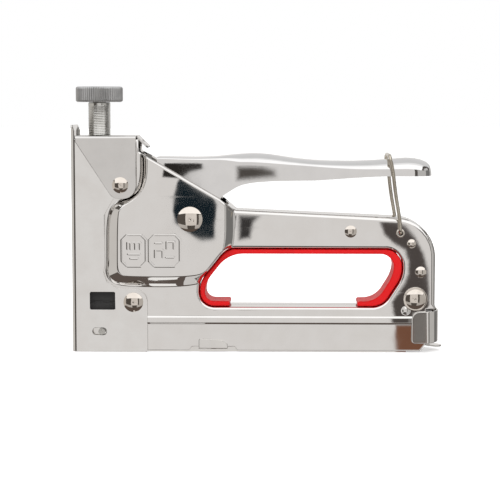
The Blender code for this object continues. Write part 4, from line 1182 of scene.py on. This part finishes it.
# Soft cards: name, outline, colour, strength, width of the soft edge and foot, distance from the face.
SHADES = [
    ("bulge_shade", BULGE_SHADE, (0.30, 0.55, 0.75), 0.03, 0.5, 2.4, 722.0),
    ("lever_shade", LEVER_SHADE, (0.9, 0.8, 0.72), 0.03, 0.45, 1.2, 723.0),
    ("lever_shade_two", LEVER_SHADE_TWO, (0.9, 0.8, 0.72), 0.10, 1.6, 0.0, 724.0),
    ("grip_shade", GRIP_SHADE, (0.95, 0.9, 0.88), 0.05, 1.3, 0.0, 725.0),
    ("shoulder_shade", SHOULDER_SHADE, (1.0, 0.86, 0.80), 0.085, 1.0, 0.0, 726.0),
    ("heel_shade", HEEL_SHADE, (1.0, 0.46, 0.28), 0.20, 0.8, 0.0, 720.0),
    ("clip_shade", CLIP_SHADE, (1.0, 0.93, 0.88), 0.21, 0.25, 0.0, 715.0),
]


def make_stage():
    reach = (-6000, 6000)
    floor = mesh_object("floor", level(reach, reach, -0.05), [(0, 1, 2, 3)], smooth=False)
    pale, _, shader = new_material("pale_floor", (0.92, 0.92, 0.92), 0.6, 0.0)
    shader.inputs["Emission Color"].default_value = (*WHITE, 1.0)
    shader.inputs["Emission Strength"].default_value = 0.35
    floor.data.materials.append(pale)
    floor.visible_glossy = False

    bpy.ops.mesh.primitive_uv_sphere_add(segments=48, ring_count=24, radius=3.0)
    tent = bpy.context.active_object
    tent.name = "dark_tent"
    tent.data.materials.append(emitter("dark_tent", (1.0, 0.90, 0.82), 0.10))
    only_mirrored(tent)

    for turn, name, sky in ((1.0, "front", 1.3), (-1.0, "rear", 0.74)):
        y = -WALL * turn
        card("pale_wall_" + name, upright((-300, y), (300, y), -330, 330), (1.0, 0.978, 0.958), 0.80)
        slope = [(-900, y, 330), (900, y, 330), (900, -150 * turn, 900), (-900, -150 * turn, 900)]
        card("sky_" + name, slope, WHITE, sky)
    for row in CARDS:
        card(*row)
    for rear in (False, True):
        for name, *row in SHADES:
            soft_card(name + ("_rear" if rear else "_front"), *row, rear)


def make_lights():
    for name, place, size, energy in (
            ("key", (-500, -700, 800), 500, 3.0), ("fill", (600, -500, 600), 600, 1.5),
            ("back", (0, 700, 700), 700, 2.0)):
        light = bpy.data.lights.new(name, "AREA")
        light.size = size * MM
        light.energy = energy
        obj = add(name, light)
        obj.location = Vector(place) * MM
        obj.rotation_euler = (Vector((0, 0, 50)) - Vector(place)).to_track_quat("-Z", "Y").to_euler()
        obj.visible_glossy = False


def make_camera():
    data = bpy.data.cameras.new("camera")
    data.sensor_width = 36.0
    data.lens = data.sensor_width * (AIM - CAMERA).length / VIEW_WIDTH
    data.clip_start, data.clip_end = 0.01, 50.0
    camera = add("camera", data)
    camera.location = CAMERA * MM
    camera.rotation_euler = (AIM - CAMERA).to_track_quat("-Z", "Y").to_euler()
    bpy.context.scene.camera = camera


world = bpy.data.worlds.new("studio")
world.use_nodes = True
world.node_tree.nodes["Background"].inputs["Color"].default_value = (*WHITE, 1.0)
world.node_tree.nodes["Background"].inputs["Strength"].default_value = 1.0
bpy.context.scene.world = world
bpy.context.scene.view_settings.view_transform = "Standard"
make_stage()
make_lights()
make_camera()
